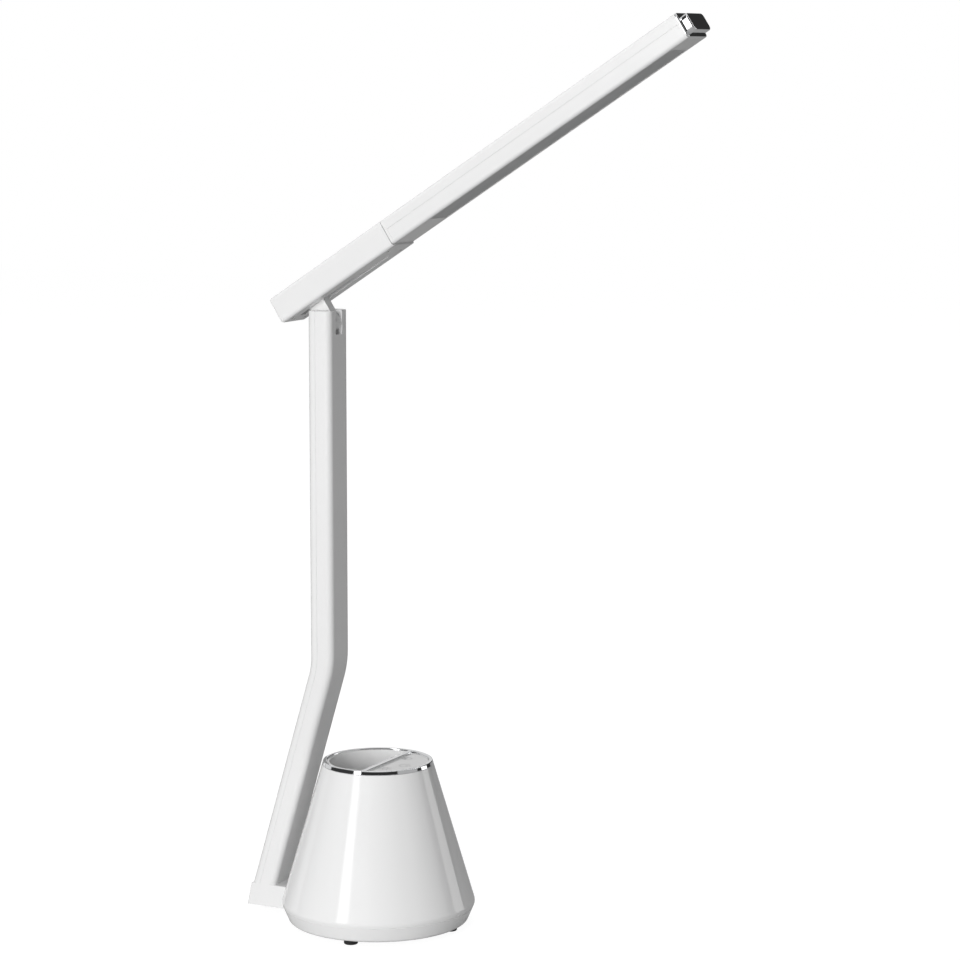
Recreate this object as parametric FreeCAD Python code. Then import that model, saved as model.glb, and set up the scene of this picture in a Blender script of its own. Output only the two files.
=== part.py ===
import FreeCAD, Part
import math
import os
from FreeCAD import Placement, Rotation, Vector

# Desk lamp: a tilting and rolling light bar on a bent stem, on a cone base with a pen cup.
# Millimetres. The origin is the centre of the base on the desk, +Z is up, and the light
# bar points towards +X. The stem stands behind the base, on the -X side.

# General fits
overrun = 1.0
fit_gap = 0.1
running_gap = 0.05
part_gap = 0.3
screw_radius = 1.4
screw_head_radius = 2.6
screw_head_height = 1.8
screw_bite = 6.0

# Rubber feet
foot_count = 4
foot_radius = 5.2
foot_height = 4.1
foot_seat_depth = 0.8
foot_round = 1.0
foot_edge_inset = 9.6
foot_phase_deg = -82.6

# Base dish, the shallow moulding under the cone
dish_edge_inset = 6.0
dish_edge_round = 3.5
dish_height = 12.0
dish_wall = 2.5
dish_tongue_height = 3.5
dish_tongue_wall = 1.4
dish_seam_chamfer = 0.5

# Cone shell
widest_radius = 72.6
widest_rise = 1.9
seam_land = 0.26
rim_radius = 40.7
rim_z = 126.0
cone_wall = 2.5
ledge_height = 2.1

# Chrome rim ring
ring_height = 3.1
ring_width = 2.7
ring_skirt_depth = 3.3
ring_round = 0.7

# Pen cup, which fills the rear half of the cone's mouth
cup_depth = 85.0
cup_wall = 1.6
cup_sink = 1.0
cup_flange_height = 1.6
cup_round = 4.0
divider_x = 8.3
divider_wall = 2.0
shelf_width = 2.4

# Chrome divider bar, a channel over the cup's flat wall
bar_width = 4.0
bar_top_height = 0.9
bar_skirt_wall = 0.9
bar_round = 0.3

# Touch panel in the front half of the mouth
panel_thickness = 2.0
panel_sink = 1.4
panel_post_radius = 2.2
panel_post_height = 2.4
panel_post_place_shares = ((0.68, 0.29), (0.55, -0.44), (0.17, -0.03))
touch_pad_radius = 4.0
touch_pad_place_shares = ((0.53, -0.12), (0.23, -0.52), (0.19, 0.44))
touch_board_thickness = 1.6
touch_board_inset = 3.4

# Ballast plate and the board above it
ballast_boss_gap = 2.2
ballast_height = 9.0
ballast_notch_gap = 2.4
boss_radius = 3.4
spacer_radius = 4.6
spacer_height = 8.0
board_length = 62.0
board_width = 50.0
board_thickness = 1.6
board_centre_x = 4.0
board_hole_inset = 5.0
connector_length = 9.0
connector_width = 11.0
connector_height = 6.0
capacitor_radius = 5.0
capacitor_height = 13.0
choke_side = 12.0
choke_height = 8.0
chip_side = 7.0
chip_height = 1.8

# Screws that hold the dish to the cone
base_screw_inset = 12.6
base_screw_phase_deg = 52.0
post_radius = 3.8
post_z = 15.0

# Power inlet on the far rear side of the cone
jack_angle_deg = 118.0
jack_z = 36.0
jack_body_radius = 4.0
jack_body_length = 14.0
jack_bezel_radius = 5.6
jack_bezel_height = 1.4
jack_boss_radius = 7.6
jack_boss_depth = 5.0
jack_bore_radius = 2.85
jack_bore_depth = 9.5
jack_pin_radius = 1.0
jack_nut_radius = 5.4
jack_nut_height = 2.0
power_wire_radius = 1.6
power_turn_radius = 24.0
power_bend_radius = 5.0

# Stem, bent once, with a fork at its top
stem_width = 29.0
stem_depth = 19.2
stem_round = 4.8
stem_wall = 2.0
stem_foot_gap = 9.8
stem_top_z = 460.2
stem_bend_z = 194.2
stem_front_bend_radius = 75.0
stem_rear_bend_radius = 45.0
stem_extra_lean_deg = 0.24
stem_back_depth = 7.0
stem_top_round = 0.8
stem_tongue_depth = 3.0
stem_tongue_wall = 1.2
core_thickness = 2.0
core_width = 16.0
core_foot_z = 10.3
stem_wire_radius = 1.6
stem_wire_offset = 4.2
stem_wire_bend_radius = 6.0
stem_wire_end_x = -18.0
stem_wire_slack = 3.0

# Foot bracket, which carries the stem behind the cone
bracket_rear_margin = 0.7
bracket_rear_lean = 3.5
bracket_z = 5.8
bracket_top_z = 22.8
bracket_wall = 2.4
bracket_round = 1.2
bracket_reach = 9.6
bracket_cover_height = 3.0
cover_seat_depth = 1.6
tongue_half_width = 10.0
tongue_height = 7.0
tongue_length = 20.0
tongue_screw_inset = 4.5
tongue_screw_half_span = 6.0
foot_block_front = 8.6
foot_block_rear_gap = 0.8
foot_block_height = 8.0
foot_screw_front = 5.4
foot_screw_half_span = 5.5
flat_head_height = 1.2

# Fork hinge at the stem's top
pivot_setback = 6.4
pivot_drop = 9.4
slot_width = 9.6
slot_drop = 8.3
slot_wall = 1.5
pin_radius = 2.0
pin_head_radius = 3.6
pin_head_height = 1.8
nut_height = 2.2
nut_radius = 3.9
clevis_thickness = 1.4
clevis_half_depth = 5.2
clevis_drop = 5.5
washer_thickness = 0.3
washer_radius = 5.0

# Neck of the head, square to the head's underside
neck_width = 8.8
neck_half_depth = 6.2
neck_root_rear = 7.6
lead_hole_radius = 1.2
lead_hole_offset = 4.2
neck_plate_thickness = 2.4
neck_plate_front = 20.0
neck_plate_rear = 14.0
neck_plate_side_inset = 5.2
neck_screw_inset = 3.1

# Head: rear section, measured along the head from the pivot
head_tilt_deg = 32.7
head_rise = 17.05
head_width = 34.4
head_height = 20.6
head_lower_round = 2.8
head_upper_round = 3.0
head_end_round = 1.4
head_wall = 2.0
rear_end = 27.3
rear_length = 110.3
rear_cover_side_inset = 5.2
rear_cover_inset = 4.0
rear_cover_rear_screw_inset = 2.3
rear_cover_front_screw_inset = 5.0
rear_cover_screw_side_inset = 2.8
rear_cover_thickness = 2.0
hollow_low_round = 1.0
trough_width = 9.6
trough_rear = 17.3
trough_front = 67.7
trough_depth = 4.5
trough_end_depth = 0.5
trough_deep_length = 25.0
trough_ramp_length = 26.0
trough_ramp_depth = 1.3
trough_floor = 1.5

# Roll joint between the two head sections
joint_gap = 0.4
bush_radius = 6.2
bush_flange_radius = 7.6
bush_flange_height = 1.4
spindle_radius = 4.6
spindle_bore_radius = 3.0
spindle_flange_radius = 7.6
spindle_flange_height = 2.0
spring_washer_height = 0.9
clip_height = 1.0
clip_radius = 6.8
spindle_screw_circle_radius = 6.1
spindle_screw_count = 3
small_screw_radius = 0.8
small_screw_head_radius = 1.3
small_screw_head_height = 0.9

# Light bar
bar_step = 1.2
light_length = 271.6
light_wall = 1.8
light_end_wall = 2.2
parting_height = 12.6
window_rear_inset = 34.3
window_front_inset = 15.5
window_side_inset = 3.9
diffuser_recess = 0.3
diffuser_lip = 0.8
diffuser_lip_thickness = 1.2
led_board_side_gap = 2.8
led_board_thickness = 1.2
led_board_end_gap = 3.0
spreader_thickness = 2.0
spreader_side_inset = 5.2
led_rows = 2
led_columns = 18
led_side = 3.0
led_height = 0.8
led_row_pitch = 9.0
led_drop = 4.6
light_screw_count = 4
light_post_radius = 2.6
tray_tongue_height = 2.0
tray_tongue_wall = 1.1

# Chrome end cap
flange_thickness = 1.5
flange_round = 0.9
flange_plug_length = 3.6
flange_plug_wall = 1.2
block_length = 5.8
block_side_inset = 2.2
block_top_inset = 3.7
block_low_inset = 2.0
block_round = 1.1
block_edge_round = 3.4

# Wires that the head holds
head_wire_radius = 1.5
head_wire_bend_radius = 12.0

# Places worked out from the values above
widest_z = foot_height + dish_height + widest_rise
cone_slope = (widest_radius - rim_radius) / (rim_z - widest_z)
dish_slope = dish_edge_inset / (widest_z - foot_height)
widest_turn = math.atan(cone_slope) + math.atan(dish_slope)
widest_round = (math.hypot(widest_rise, widest_rise * dish_slope) - seam_land) / math.tan(widest_turn / 2)
lean = math.atan(cone_slope) + math.radians(stem_extra_lean_deg)
dish_edge_radius = widest_radius - dish_edge_inset
foot_circle_radius = dish_edge_radius - foot_edge_inset
base_screw_circle_radius = widest_radius - base_screw_inset
ballast_radius = base_screw_circle_radius - post_radius - ballast_boss_gap
bracket_inner_x = bracket_reach - widest_radius
tongue_inner_x = bracket_inner_x + tongue_length
tongue_screw_x = tongue_inner_x - tongue_screw_inset
ballast_notch_x = tongue_inner_x + ballast_notch_gap
ballast_notch_half_width = tongue_half_width + ballast_notch_gap
stem_front_x = (stem_bend_z - bracket_top_z) * math.tan(lean) - widest_radius - stem_foot_gap
pivot_x = stem_front_x - pivot_setback
pivot_z = stem_top_z - pivot_drop
dish_top_z = foot_height + dish_height
dish_floor_z = foot_height + dish_wall
ring_z = rim_z - ring_height
ring_inner_radius = rim_radius - ring_width
ledge_top_z = ring_z - ring_skirt_depth - cup_flange_height
cup_radius = ring_inner_radius - fit_gap
cup_top_z = rim_z - cup_sink
cup_floor_z = rim_z - cup_depth
panel_top_z = rim_z - panel_sink
panel_z = panel_top_z - panel_thickness
divider_front_x = divider_x + divider_wall / 2
divider_rear_x = divider_x - divider_wall / 2
ballast_top_z = dish_floor_z + ballast_height
board_z = ballast_top_z + spacer_height
board_top_z = board_z + board_thickness
stem_axis_x = stem_front_x - stem_depth / 2
slot_z = pivot_z - slot_drop
head_top = head_rise + head_height
rear_front = rear_length - rear_end
light_rear = rear_front + joint_gap
light_front = light_rear + light_length
light_floor = head_rise + bar_step
parting_z = head_rise + parting_height
roll_z = (light_floor + head_top) / 2
neck_plate_half_width = head_width / 2 - neck_plate_side_inset
rear_cover_half_width = head_width / 2 - rear_cover_side_inset
rear_cover_screw_half_span = rear_cover_half_width - rear_cover_screw_side_inset
window_half_width = head_width / 2 - window_side_inset
led_board_half_width = window_half_width - led_board_side_gap
spreader_half_width = head_width / 2 - spreader_side_inset
window_rear = light_rear + window_rear_inset
window_front = light_front - window_front_inset
window_length = window_front - window_rear


def cone_radius(z):
    return widest_radius - (z - widest_z) * cone_slope


def dish_radius(z):
    share = (z - foot_height) / (widest_z - foot_height)
    return dish_edge_radius + (widest_radius - dish_edge_radius) * share


def box(x0, x1, y0, y1, z0, z1):
    return Part.makeBox(x1 - x0, y1 - y0, z1 - z0, Vector(x0, y0, z0))


def rod(radius, start, end):
    axis = end - start
    return Part.makeCylinder(radius, axis.Length, start, axis)


def tube(outer, inner, start, end):
    axis = (end - start).normalize() * overrun
    return rod(outer, start, end).cut(rod(inner, start - axis, end + axis))


def outline(points, place):
    """Closed wire through (a, b) or (a, b, radius) points, with the rounded corners as arcs."""
    flat = [FreeCAD.Vector(p[0], p[1], 0) for p in points]
    radii = [p[2] if len(p) > 2 else 0 for p in points]
    corners = []
    for i, here in enumerate(flat):
        if not radii[i]:
            corners.append((here, None, here))
            continue
        back = (flat[i - 1] - here).normalize()
        ahead = (flat[(i + 1) % len(flat)] - here).normalize()
        half = back.getAngle(ahead) / 2
        reach = radii[i] / math.tan(half)
        centre = here + (back + ahead).normalize() * (radii[i] / math.sin(half))
        middle = centre + (here - centre).normalize() * radii[i]
        corners.append((here + back * reach, middle, here + ahead * reach))
    edges = []
    for i, (start, middle, end) in enumerate(corners):
        if middle:
            edges.append(Part.Arc(place(start), place(middle), place(end)).toShape())
        following = corners[(i + 1) % len(corners)][0]
        if (following - end).Length > 0:
            edges.append(Part.LineSegment(place(end), place(following)).toShape())
    return Part.Wire(edges)


def turned(points):
    face = Part.Face(outline(points, lambda p: Vector(p.x, 0, p.y)))
    return face.revolve(Vector(0, 0, 0), Vector(0, 0, 1), 360)


def across_y(points, y0, y1):
    face = Part.Face(outline(points, lambda p: Vector(p.x, y0, p.y)))
    return face.extrude(Vector(0, y1 - y0, 0))


def along_x(points, x0, x1):
    face = Part.Face(outline(points, lambda p: Vector(x0, p.x, p.y)))
    return face.extrude(Vector(x1 - x0, 0, 0))


def along_z(points, z0, z1):
    face = Part.Face(outline(points, lambda p: Vector(p.x, p.y, z0)))
    return face.extrude(Vector(0, 0, z1 - z0))


def on_circle(radius, angle_deg, z=0):
    angle = math.radians(angle_deg)
    return Vector(radius * math.cos(angle), radius * math.sin(angle), z)


def evenly(count, phase_deg):
    return [phase_deg + 360 * i / count for i in range(count)]


def screw(head_base, direction, length, radius=screw_radius, head_radius=screw_head_radius,
          head_height=screw_head_height):
    """Pan-head screw: the head lies behind head_base and the shank runs along direction."""
    along = Vector(direction).normalize()
    shank = rod(radius, head_base, head_base + along * length)
    return shank.fuse(rod(head_radius, head_base - along * head_height, head_base))


def screw_hole(head_base, direction, length, radius=screw_radius):
    along = Vector(direction).normalize()
    start = head_base - along * overrun
    return rod(radius + fit_gap / 2, start, head_base + along * (length + fit_gap))


def joined(shapes):
    solid = shapes[0]
    for shape in shapes[1:]:
        solid = solid.fuse(shape)
    return solid.removeSplitter()


def cut_all(shape, tools):
    for tool in tools:
        shape = shape.cut(tool)
    return shape


def in_head(shape):
    """Moves a shape from the head's own frame, level with its origin on the pivot, into place."""
    moved = shape.copy()
    turn = Rotation(Vector(0, 1, 0), -head_tilt_deg)
    moved.Placement = Placement(Vector(pivot_x, 0, pivot_z), turn).multiply(moved.Placement)
    return moved


def save(name, shape):
    solids = shape.Solids
    for solid in solids:
        if not solid.isValid() or solid.Volume <= 0:
            raise ValueError(name + " is not a sound solid")
    shape = solids[0] if len(solids) == 1 else Part.makeCompound(solids)
    shape.exportStep(os.path.join("parts", name + ".step"))
    print(name, len(solids), "solid(s)", round(shape.Volume), "mm3")


# Base

def foot_places():
    return [on_circle(foot_circle_radius, angle) for angle in evenly(foot_count, foot_phase_deg)]


def base_screw_places(z):
    angles = evenly(foot_count, base_screw_phase_deg)
    return [on_circle(base_screw_circle_radius, angle, z) for angle in angles]


def board_hole_places(z):
    half_x = board_length / 2 - board_hole_inset
    half_y = board_width / 2 - board_hole_inset
    return [Vector(board_centre_x + sx * half_x, sy * half_y, z) for sx in (-1, 1) for sy in (-1, 1)]


def bracket_window(z0, z1, gap):
    half = stem_width / 2 + gap
    return box(-widest_radius - overrun, bracket_inner_x + gap, -half, half, z0, z1)


def make_feet():
    feet = []
    for place in foot_places():
        top = place + Vector(0, 0, foot_height + foot_seat_depth)
        foot = rod(foot_radius, place, top)
        low_edges = [edge for edge in foot.Edges if edge.BoundBox.ZMax < foot_height / 2]
        feet.append(foot.makeFillet(foot_round, low_edges))
    return Part.makeCompound(feet)


def make_dish():
    inner_radius = dish_radius(dish_top_z) - dish_wall
    tongue_radius = inner_radius - fit_gap
    tongue_inner = tongue_radius - dish_tongue_wall
    tongue_top = dish_top_z + dish_tongue_height
    chamfer_z = dish_top_z - dish_seam_chamfer
    dish = turned([
        (0, foot_height), (dish_edge_radius, foot_height, dish_edge_round),
        (dish_radius(chamfer_z), chamfer_z), (dish_radius(chamfer_z) - dish_seam_chamfer, dish_top_z),
        (tongue_radius, dish_top_z), (tongue_radius, tongue_top), (tongue_inner, tongue_top),
        (tongue_inner - dish_wall / 2, dish_floor_z), (0, dish_floor_z)])
    bosses = [rod(boss_radius, p, p + Vector(0, 0, ballast_height))
              for p in board_hole_places(dish_floor_z)]
    bosses += [rod(post_radius, p, Vector(p.x, p.y, post_z)) for p in base_screw_places(dish_floor_z)]
    dish = joined([dish] + bosses)
    cuts = [bracket_window(bracket_z - fit_gap, tongue_top + overrun, fit_gap)]
    cuts += [rod(foot_radius + fit_gap / 2, p, p + Vector(0, 0, foot_height + foot_seat_depth))
             for p in foot_places()]
    for p in base_screw_places(foot_height):
        seat = p + Vector(0, 0, screw_head_height + fit_gap)
        cuts.append(rod(screw_head_radius + fit_gap, p, seat))
        cuts.append(rod(screw_radius + fit_gap, p, Vector(p.x, p.y, post_z + overrun)))
    for p in board_hole_places(ballast_top_z):
        cuts.append(screw_hole(p, Vector(0, 0, -1), screw_bite))
    for p in tongue_screw_places(foot_height):
        seat = p + Vector(0, 0, flat_head_height + fit_gap)
        cuts.append(rod(screw_head_radius + fit_gap, p, seat))
        cuts.append(rod(screw_radius + fit_gap, p, p + Vector(0, 0, dish_wall + overrun)))
    return cut_all(dish, cuts)


def make_cone():
    seam_radius = dish_radius(dish_top_z)
    wall_top_radius = cone_radius(ring_z) - cone_wall
    ledge_z = ledge_top_z - ledge_height
    cone = turned([
        (seam_radius - cone_wall, dish_top_z), (seam_radius, dish_top_z),
        (widest_radius, widest_z, widest_round), (cone_radius(ring_z), ring_z),
        (wall_top_radius, ring_z), (wall_top_radius, ledge_top_z),
        (cup_radius + fit_gap, ledge_top_z), (cup_radius + fit_gap, ledge_z),
        (cone_radius(ledge_z) - cone_wall, ledge_z), (widest_radius - cone_wall, widest_z)])
    core = turned([
        (0, post_z), (widest_radius - cone_wall / 2, post_z),
        (widest_radius - cone_wall / 2, widest_z), (cone_radius(ledge_z) - cone_wall / 2, ledge_z),
        (0, ledge_z)])
    posts = []
    for p in base_screw_places(post_z):
        post = rod(post_radius, p, Vector(p.x, p.y, ledge_z))
        outer_band = turned([
            (base_screw_circle_radius - post_radius - overrun, post_z),
            (widest_radius, post_z), (widest_radius, widest_z),
            (base_screw_circle_radius - post_radius - overrun, post_reach_z())])
        posts.append(post.common(core).common(outer_band))
    cone = joined([cone, jack_boss().common(core)] + posts)
    cuts = [bracket_window(dish_top_z - overrun, bracket_top_z + fit_gap, fit_gap)]
    cuts += [screw_hole(p, Vector(0, 0, 1), screw_bite) for p in base_screw_places(post_z)]
    cuts += jack_cuts()
    return cut_all(cone, cuts)


def post_reach_z():
    """Height at which the cone's wall has come in over the whole of a screw post."""
    return widest_z + (widest_radius - base_screw_circle_radius + post_radius) / cone_slope


def base_screw_length():
    return post_z - foot_height - screw_head_height - fit_gap + screw_bite


def make_base_screws():
    seat_z = foot_height + screw_head_height + fit_gap
    screws = [screw(p, Vector(0, 0, 1), base_screw_length()) for p in base_screw_places(seat_z)]
    return Part.makeCompound(screws)


def make_ring():
    skirt_radius = cone_radius(ring_z) - cone_wall - fit_gap
    return turned([
        (ring_inner_radius, ring_z - ring_skirt_depth), (skirt_radius, ring_z - ring_skirt_depth),
        (skirt_radius, ring_z), (cone_radius(ring_z), ring_z, ring_round / 2),
        (rim_radius, rim_z, ring_round), (ring_inner_radius, rim_z, ring_round)])


def make_cup():
    flange_radius = cone_radius(ring_z) - cone_wall - fit_gap
    flange_top = ledge_top_z + cup_flange_height
    centre = Vector(0, 0, cup_floor_z)
    outer = rod(cup_radius, centre, Vector(0, 0, cup_top_z))
    outer = outer.common(box(-widest_radius, divider_front_x, -widest_radius, widest_radius,
                             cup_floor_z, cup_top_z))
    inner_radius = cup_radius - cup_wall
    inner = rod(inner_radius, Vector(0, 0, cup_floor_z + cup_wall), Vector(0, 0, rim_z))
    inner = inner.common(box(-widest_radius, divider_rear_x, -widest_radius, widest_radius,
                             cup_floor_z + cup_wall, rim_z))
    low_edges = [edge for edge in inner.Edges if edge.BoundBox.ZMax < cup_floor_z + cup_wall * 2]
    inner = inner.makeFillet(cup_round, low_edges)
    flange = tube(flange_radius, inner_radius, Vector(0, 0, ledge_top_z), Vector(0, 0, flange_top))
    shelf = tube(cup_radius, cup_radius - shelf_width, Vector(0, 0, ledge_top_z), Vector(0, 0, panel_z))
    return joined([outer.cut(inner), flange.cut(inner), shelf.cut(inner)])


def make_divider_bar():
    half = bar_width / 2
    plate = box(divider_x - half, divider_x + half, -rim_radius, rim_radius,
                cup_top_z, cup_top_z + bar_top_height)
    plate = plate.common(rod(cup_radius, Vector(0, 0, cup_top_z), Vector(0, 0, rim_z)))
    skirts = []
    for x0 in (divider_x - half, divider_x + half - bar_skirt_wall):
        skirts.append(box(x0, x0 + bar_skirt_wall, -rim_radius, rim_radius, panel_z, cup_top_z))
    well = rod(cup_radius - cup_wall - fit_gap, Vector(0, 0, panel_z), Vector(0, 0, rim_z))
    bar = joined([plate] + [skirt.common(well) for skirt in skirts])
    top_z = cup_top_z + bar_top_height
    long_edges = [edge for edge in bar.Edges
                  if edge.BoundBox.ZMin > top_z - running_gap and edge.BoundBox.XLength < running_gap]
    return bar.makeFillet(bar_round, long_edges)


def panel_places(shares, z):
    """Places on the touch panel, as shares of its depth from the divider and of its radius."""
    depth = cup_radius - panel_edge_x()
    return [Vector(panel_edge_x() + depth * sx, cup_radius * sy, z) for sx, sy in shares]


def panel_edge_x():
    return divider_x + bar_width / 2 + fit_gap


def make_panel():
    disc = rod(cup_radius, Vector(0, 0, panel_z), Vector(0, 0, panel_top_z))
    panel = disc.common(box(panel_edge_x(), rim_radius, -rim_radius, rim_radius, panel_z, panel_top_z))
    posts = [rod(panel_post_radius, p - Vector(0, 0, panel_post_height), p)
             for p in panel_places(panel_post_place_shares, panel_z)]
    panel = joined([panel] + posts)
    holes = [screw_hole(p, Vector(0, 0, 1), panel_post_height, small_screw_radius)
             for p in panel_places(panel_post_place_shares, panel_z - panel_post_height)]
    return cut_all(panel, holes)


def touch_board_top_z():
    return panel_z - panel_post_height


def make_touch_pads():
    places = panel_places(touch_pad_place_shares, touch_board_top_z())
    pads = [rod(touch_pad_radius, p, p + Vector(0, 0, panel_post_height)) for p in places]
    return Part.makeCompound(pads)


def make_touch_board():
    top_z = touch_board_top_z()
    low_z = top_z - touch_board_thickness
    radius = cup_radius - touch_board_inset
    disc = rod(radius, Vector(0, 0, low_z), Vector(0, 0, top_z))
    board = disc.common(box(panel_edge_x() + fit_gap, radius, -radius, radius, low_z, top_z))
    places = panel_places(panel_post_place_shares, low_z)
    return cut_all(board, [screw_hole(p, Vector(0, 0, 1), touch_board_thickness + overrun,
                                      small_screw_radius) for p in places])


def make_touch_board_screws():
    places = panel_places(panel_post_place_shares, touch_board_top_z() - touch_board_thickness)
    length = touch_board_thickness + panel_post_height - fit_gap
    return Part.makeCompound([screw(p, Vector(0, 0, 1), length, small_screw_radius,
                                    small_screw_head_radius, small_screw_head_height)
                              for p in places])


def make_ballast():
    plate = rod(ballast_radius, Vector(0, 0, dish_floor_z), Vector(0, 0, ballast_top_z))
    notch = box(-ballast_radius - overrun, ballast_notch_x, -ballast_notch_half_width,
                ballast_notch_half_width, dish_floor_z - overrun, ballast_top_z + overrun)
    holes = [rod(boss_radius + fit_gap, p, p + Vector(0, 0, ballast_height + overrun))
             for p in board_hole_places(dish_floor_z - overrun / 2)]
    return cut_all(plate, [notch] + holes)


def make_spacers():
    spacers = []
    for p in board_hole_places(ballast_top_z):
        top = p + Vector(0, 0, spacer_height)
        stud = rod(screw_radius, p - Vector(0, 0, screw_bite), p)
        spacer = stud.fuse(rod(spacer_radius, p, top))
        spacers.append(spacer.cut(screw_hole(top, Vector(0, 0, -1), screw_bite)))
    return Part.makeCompound(spacers)


def make_board():
    half_y = board_width / 2
    board = box(board_centre_x - board_length / 2, board_centre_x + board_length / 2,
                -half_y, half_y, board_z, board_top_z)
    holes = [screw_hole(p, Vector(0, 0, -1), board_thickness + overrun)
             for p in board_hole_places(board_top_z)]
    return cut_all(board, holes)


def make_board_screws():
    length = board_thickness + screw_bite - fit_gap
    return Part.makeCompound([screw(p, Vector(0, 0, -1), length)
                              for p in board_hole_places(board_top_z)])


def block_on_board(x, y, length, width, height):
    return box(x - length / 2, x + length / 2, y - width / 2, y + width / 2,
               board_top_z, board_top_z + height)


def ribbon_x():
    """The ribbon runs straight up, just in front of the touch board's innermost screw."""
    return panel_places(panel_post_place_shares[-1:], panel_z)[0].x + panel_post_radius + part_gap


def make_board_components():
    centre = board_centre_x
    edge = board_length / 2
    ribbon_socket = block_on_board(ribbon_x(), 0, connector_length, connector_width, connector_height)
    choke = block_on_board(centre - edge / 8, board_width / 5, choke_side, choke_side, choke_height)
    chip = block_on_board(centre - edge / 8, -board_width / 6, chip_side, chip_side, chip_height)
    cap_places = [Vector(centre - edge / 2, y, board_top_z) for y in (-board_width / 5, 0)]
    caps = [rod(capacitor_radius, p, p + Vector(0, 0, capacitor_height)) for p in cap_places]
    return Part.makeCompound([ribbon_socket, choke, chip] + caps)


def make_touch_ribbon():
    half = touch_board_thickness / 4
    low_z = board_top_z + connector_height
    high_z = touch_board_top_z() - touch_board_thickness
    return box(ribbon_x() - half, ribbon_x() + half, -connector_width / 3, connector_width / 3,
               low_z, high_z)


# Power inlet

def jack_point(radius, z=None):
    return on_circle(radius, jack_angle_deg, jack_z if z is None else z)


def jack_face_radius():
    """Radius at which the inlet's flat seat lies, just inside the cone at its top edge."""
    return cone_radius(jack_z + jack_bezel_radius + fit_gap) - fit_gap


def jack_boss():
    return rod(jack_boss_radius, jack_point(jack_face_radius() - jack_boss_depth),
               jack_point(widest_radius))


def jack_cuts():
    seat = jack_point(jack_face_radius())
    far = jack_point(widest_radius + overrun)
    deep = jack_point(jack_face_radius() - jack_boss_depth - cone_wall - overrun)
    seat_bore = rod(jack_bezel_radius + fit_gap, seat, far)
    return [seat_bore, rod(jack_body_radius + fit_gap / 2, deep, far)]


def make_jack():
    face = jack_face_radius()
    body = rod(jack_body_radius, jack_point(face - jack_body_length), jack_point(face))
    bezel = rod(jack_bezel_radius, jack_point(face), jack_point(face + jack_bezel_height))
    mouth = face + jack_bezel_height
    bore = rod(jack_bore_radius, jack_point(mouth - jack_bore_depth), jack_point(mouth + overrun))
    pin = rod(jack_pin_radius, jack_point(mouth - jack_bore_depth - overrun),
              jack_point(mouth - jack_bezel_height))
    return body.fuse(bezel).cut(bore).fuse(pin).removeSplitter()


def make_jack_nut():
    seat = jack_face_radius() - jack_boss_depth
    return tube(jack_nut_radius, jack_body_radius + fit_gap / 2,
                jack_point(seat - jack_nut_height), jack_point(seat))


def make_power_wires():
    """Two-core lead from the inlet down to the board."""
    start = jack_point(jack_face_radius() - jack_body_length)
    turn = jack_point(power_turn_radius)
    return wire_run([start, turn, Vector(turn.x, turn.y, board_top_z)], power_wire_radius,
                    power_bend_radius)


def wire_run(points, radius, bend_radius):
    """Round wire through points, with an arc of bend_radius at each inner point."""
    edges = []
    here = points[0]
    for i in range(1, len(points) - 1):
        back = (points[i - 1] - points[i]).normalize()
        ahead = (points[i + 1] - points[i]).normalize()
        half = back.getAngle(ahead) / 2
        reach = bend_radius / math.tan(half)
        centre = points[i] + (back + ahead).normalize() * (bend_radius / math.sin(half))
        middle = centre + (points[i] - centre).normalize() * bend_radius
        start, end = points[i] + back * reach, points[i] + ahead * reach
        edges.append(Part.LineSegment(here, start).toShape())
        edges.append(Part.Arc(start, middle, end).toShape())
        here = end
    edges.append(Part.LineSegment(here, points[-1]).toShape())
    path = Part.Wire(edges)
    first = (points[1] - points[0]).normalize()
    ring = Part.Wire([Part.Circle(points[0], first, radius).toShape()])
    return path.makePipeShell([ring], True, False)


# Stem

def stem_x(offset, z):
    """Where the line at an offset from the stem's centre line crosses a height."""
    return stem_axis_x + offset - max(stem_bend_z - z, 0) * math.tan(lean)


def bend_radius_at(offset):
    """The bend's radius, from the rear face's to the front face's."""
    share = (offset + stem_depth / 2) / stem_depth
    return stem_rear_bend_radius + (stem_front_bend_radius - stem_rear_bend_radius) * share


def stem_band(front, rear, half_width, top_z, foot_z):
    """Solid that follows the stem between two offsets, cut level at both ends."""
    sides = []
    for offset in (front, rear):
        side = [(stem_x(offset, top_z), top_z), (stem_x(offset, foot_z), foot_z)]
        if foot_z < stem_bend_z < top_z:
            side.insert(1, (stem_x(offset, stem_bend_z), stem_bend_z, bend_radius_at(offset)))
        sides.append(side)
    return across_y(sides[0] + sides[1][::-1], -half_width, half_width)


def stem_outer():
    """The stem's whole outside, with its four long edges rounded."""
    block = stem_band(stem_depth / 2, -stem_depth / 2, stem_width / 2, stem_top_z, bracket_top_z)
    long_edges = [edge for edge in block.Edges
                  if edge.BoundBox.YLength < fit_gap and edge.BoundBox.ZLength > fit_gap]
    block = block.makeFillet(stem_round, long_edges)
    top_edges = [edge for edge in block.Edges if edge.BoundBox.ZMin > stem_top_z - fit_gap]
    return block.makeFillet(stem_top_round, top_edges)


def stem_cavity():
    """The hollow inside the stem: one channel below the fork and one in each prong."""
    half = stem_width / 2 - stem_wall
    reach = stem_depth / 2 - stem_wall
    channel = stem_band(reach, -reach, half, slot_z - slot_wall, bracket_top_z - overrun)
    prongs = []
    for side in (-1, 1):
        inner = slot_width / 2 + slot_wall
        y0, y1 = sorted((side * inner, side * half))
        prongs.append(box(stem_axis_x - reach, stem_axis_x + reach, y0, y1,
                          slot_z - slot_wall - overrun, stem_top_z - stem_wall))
    return joined([channel] + prongs)


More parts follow.
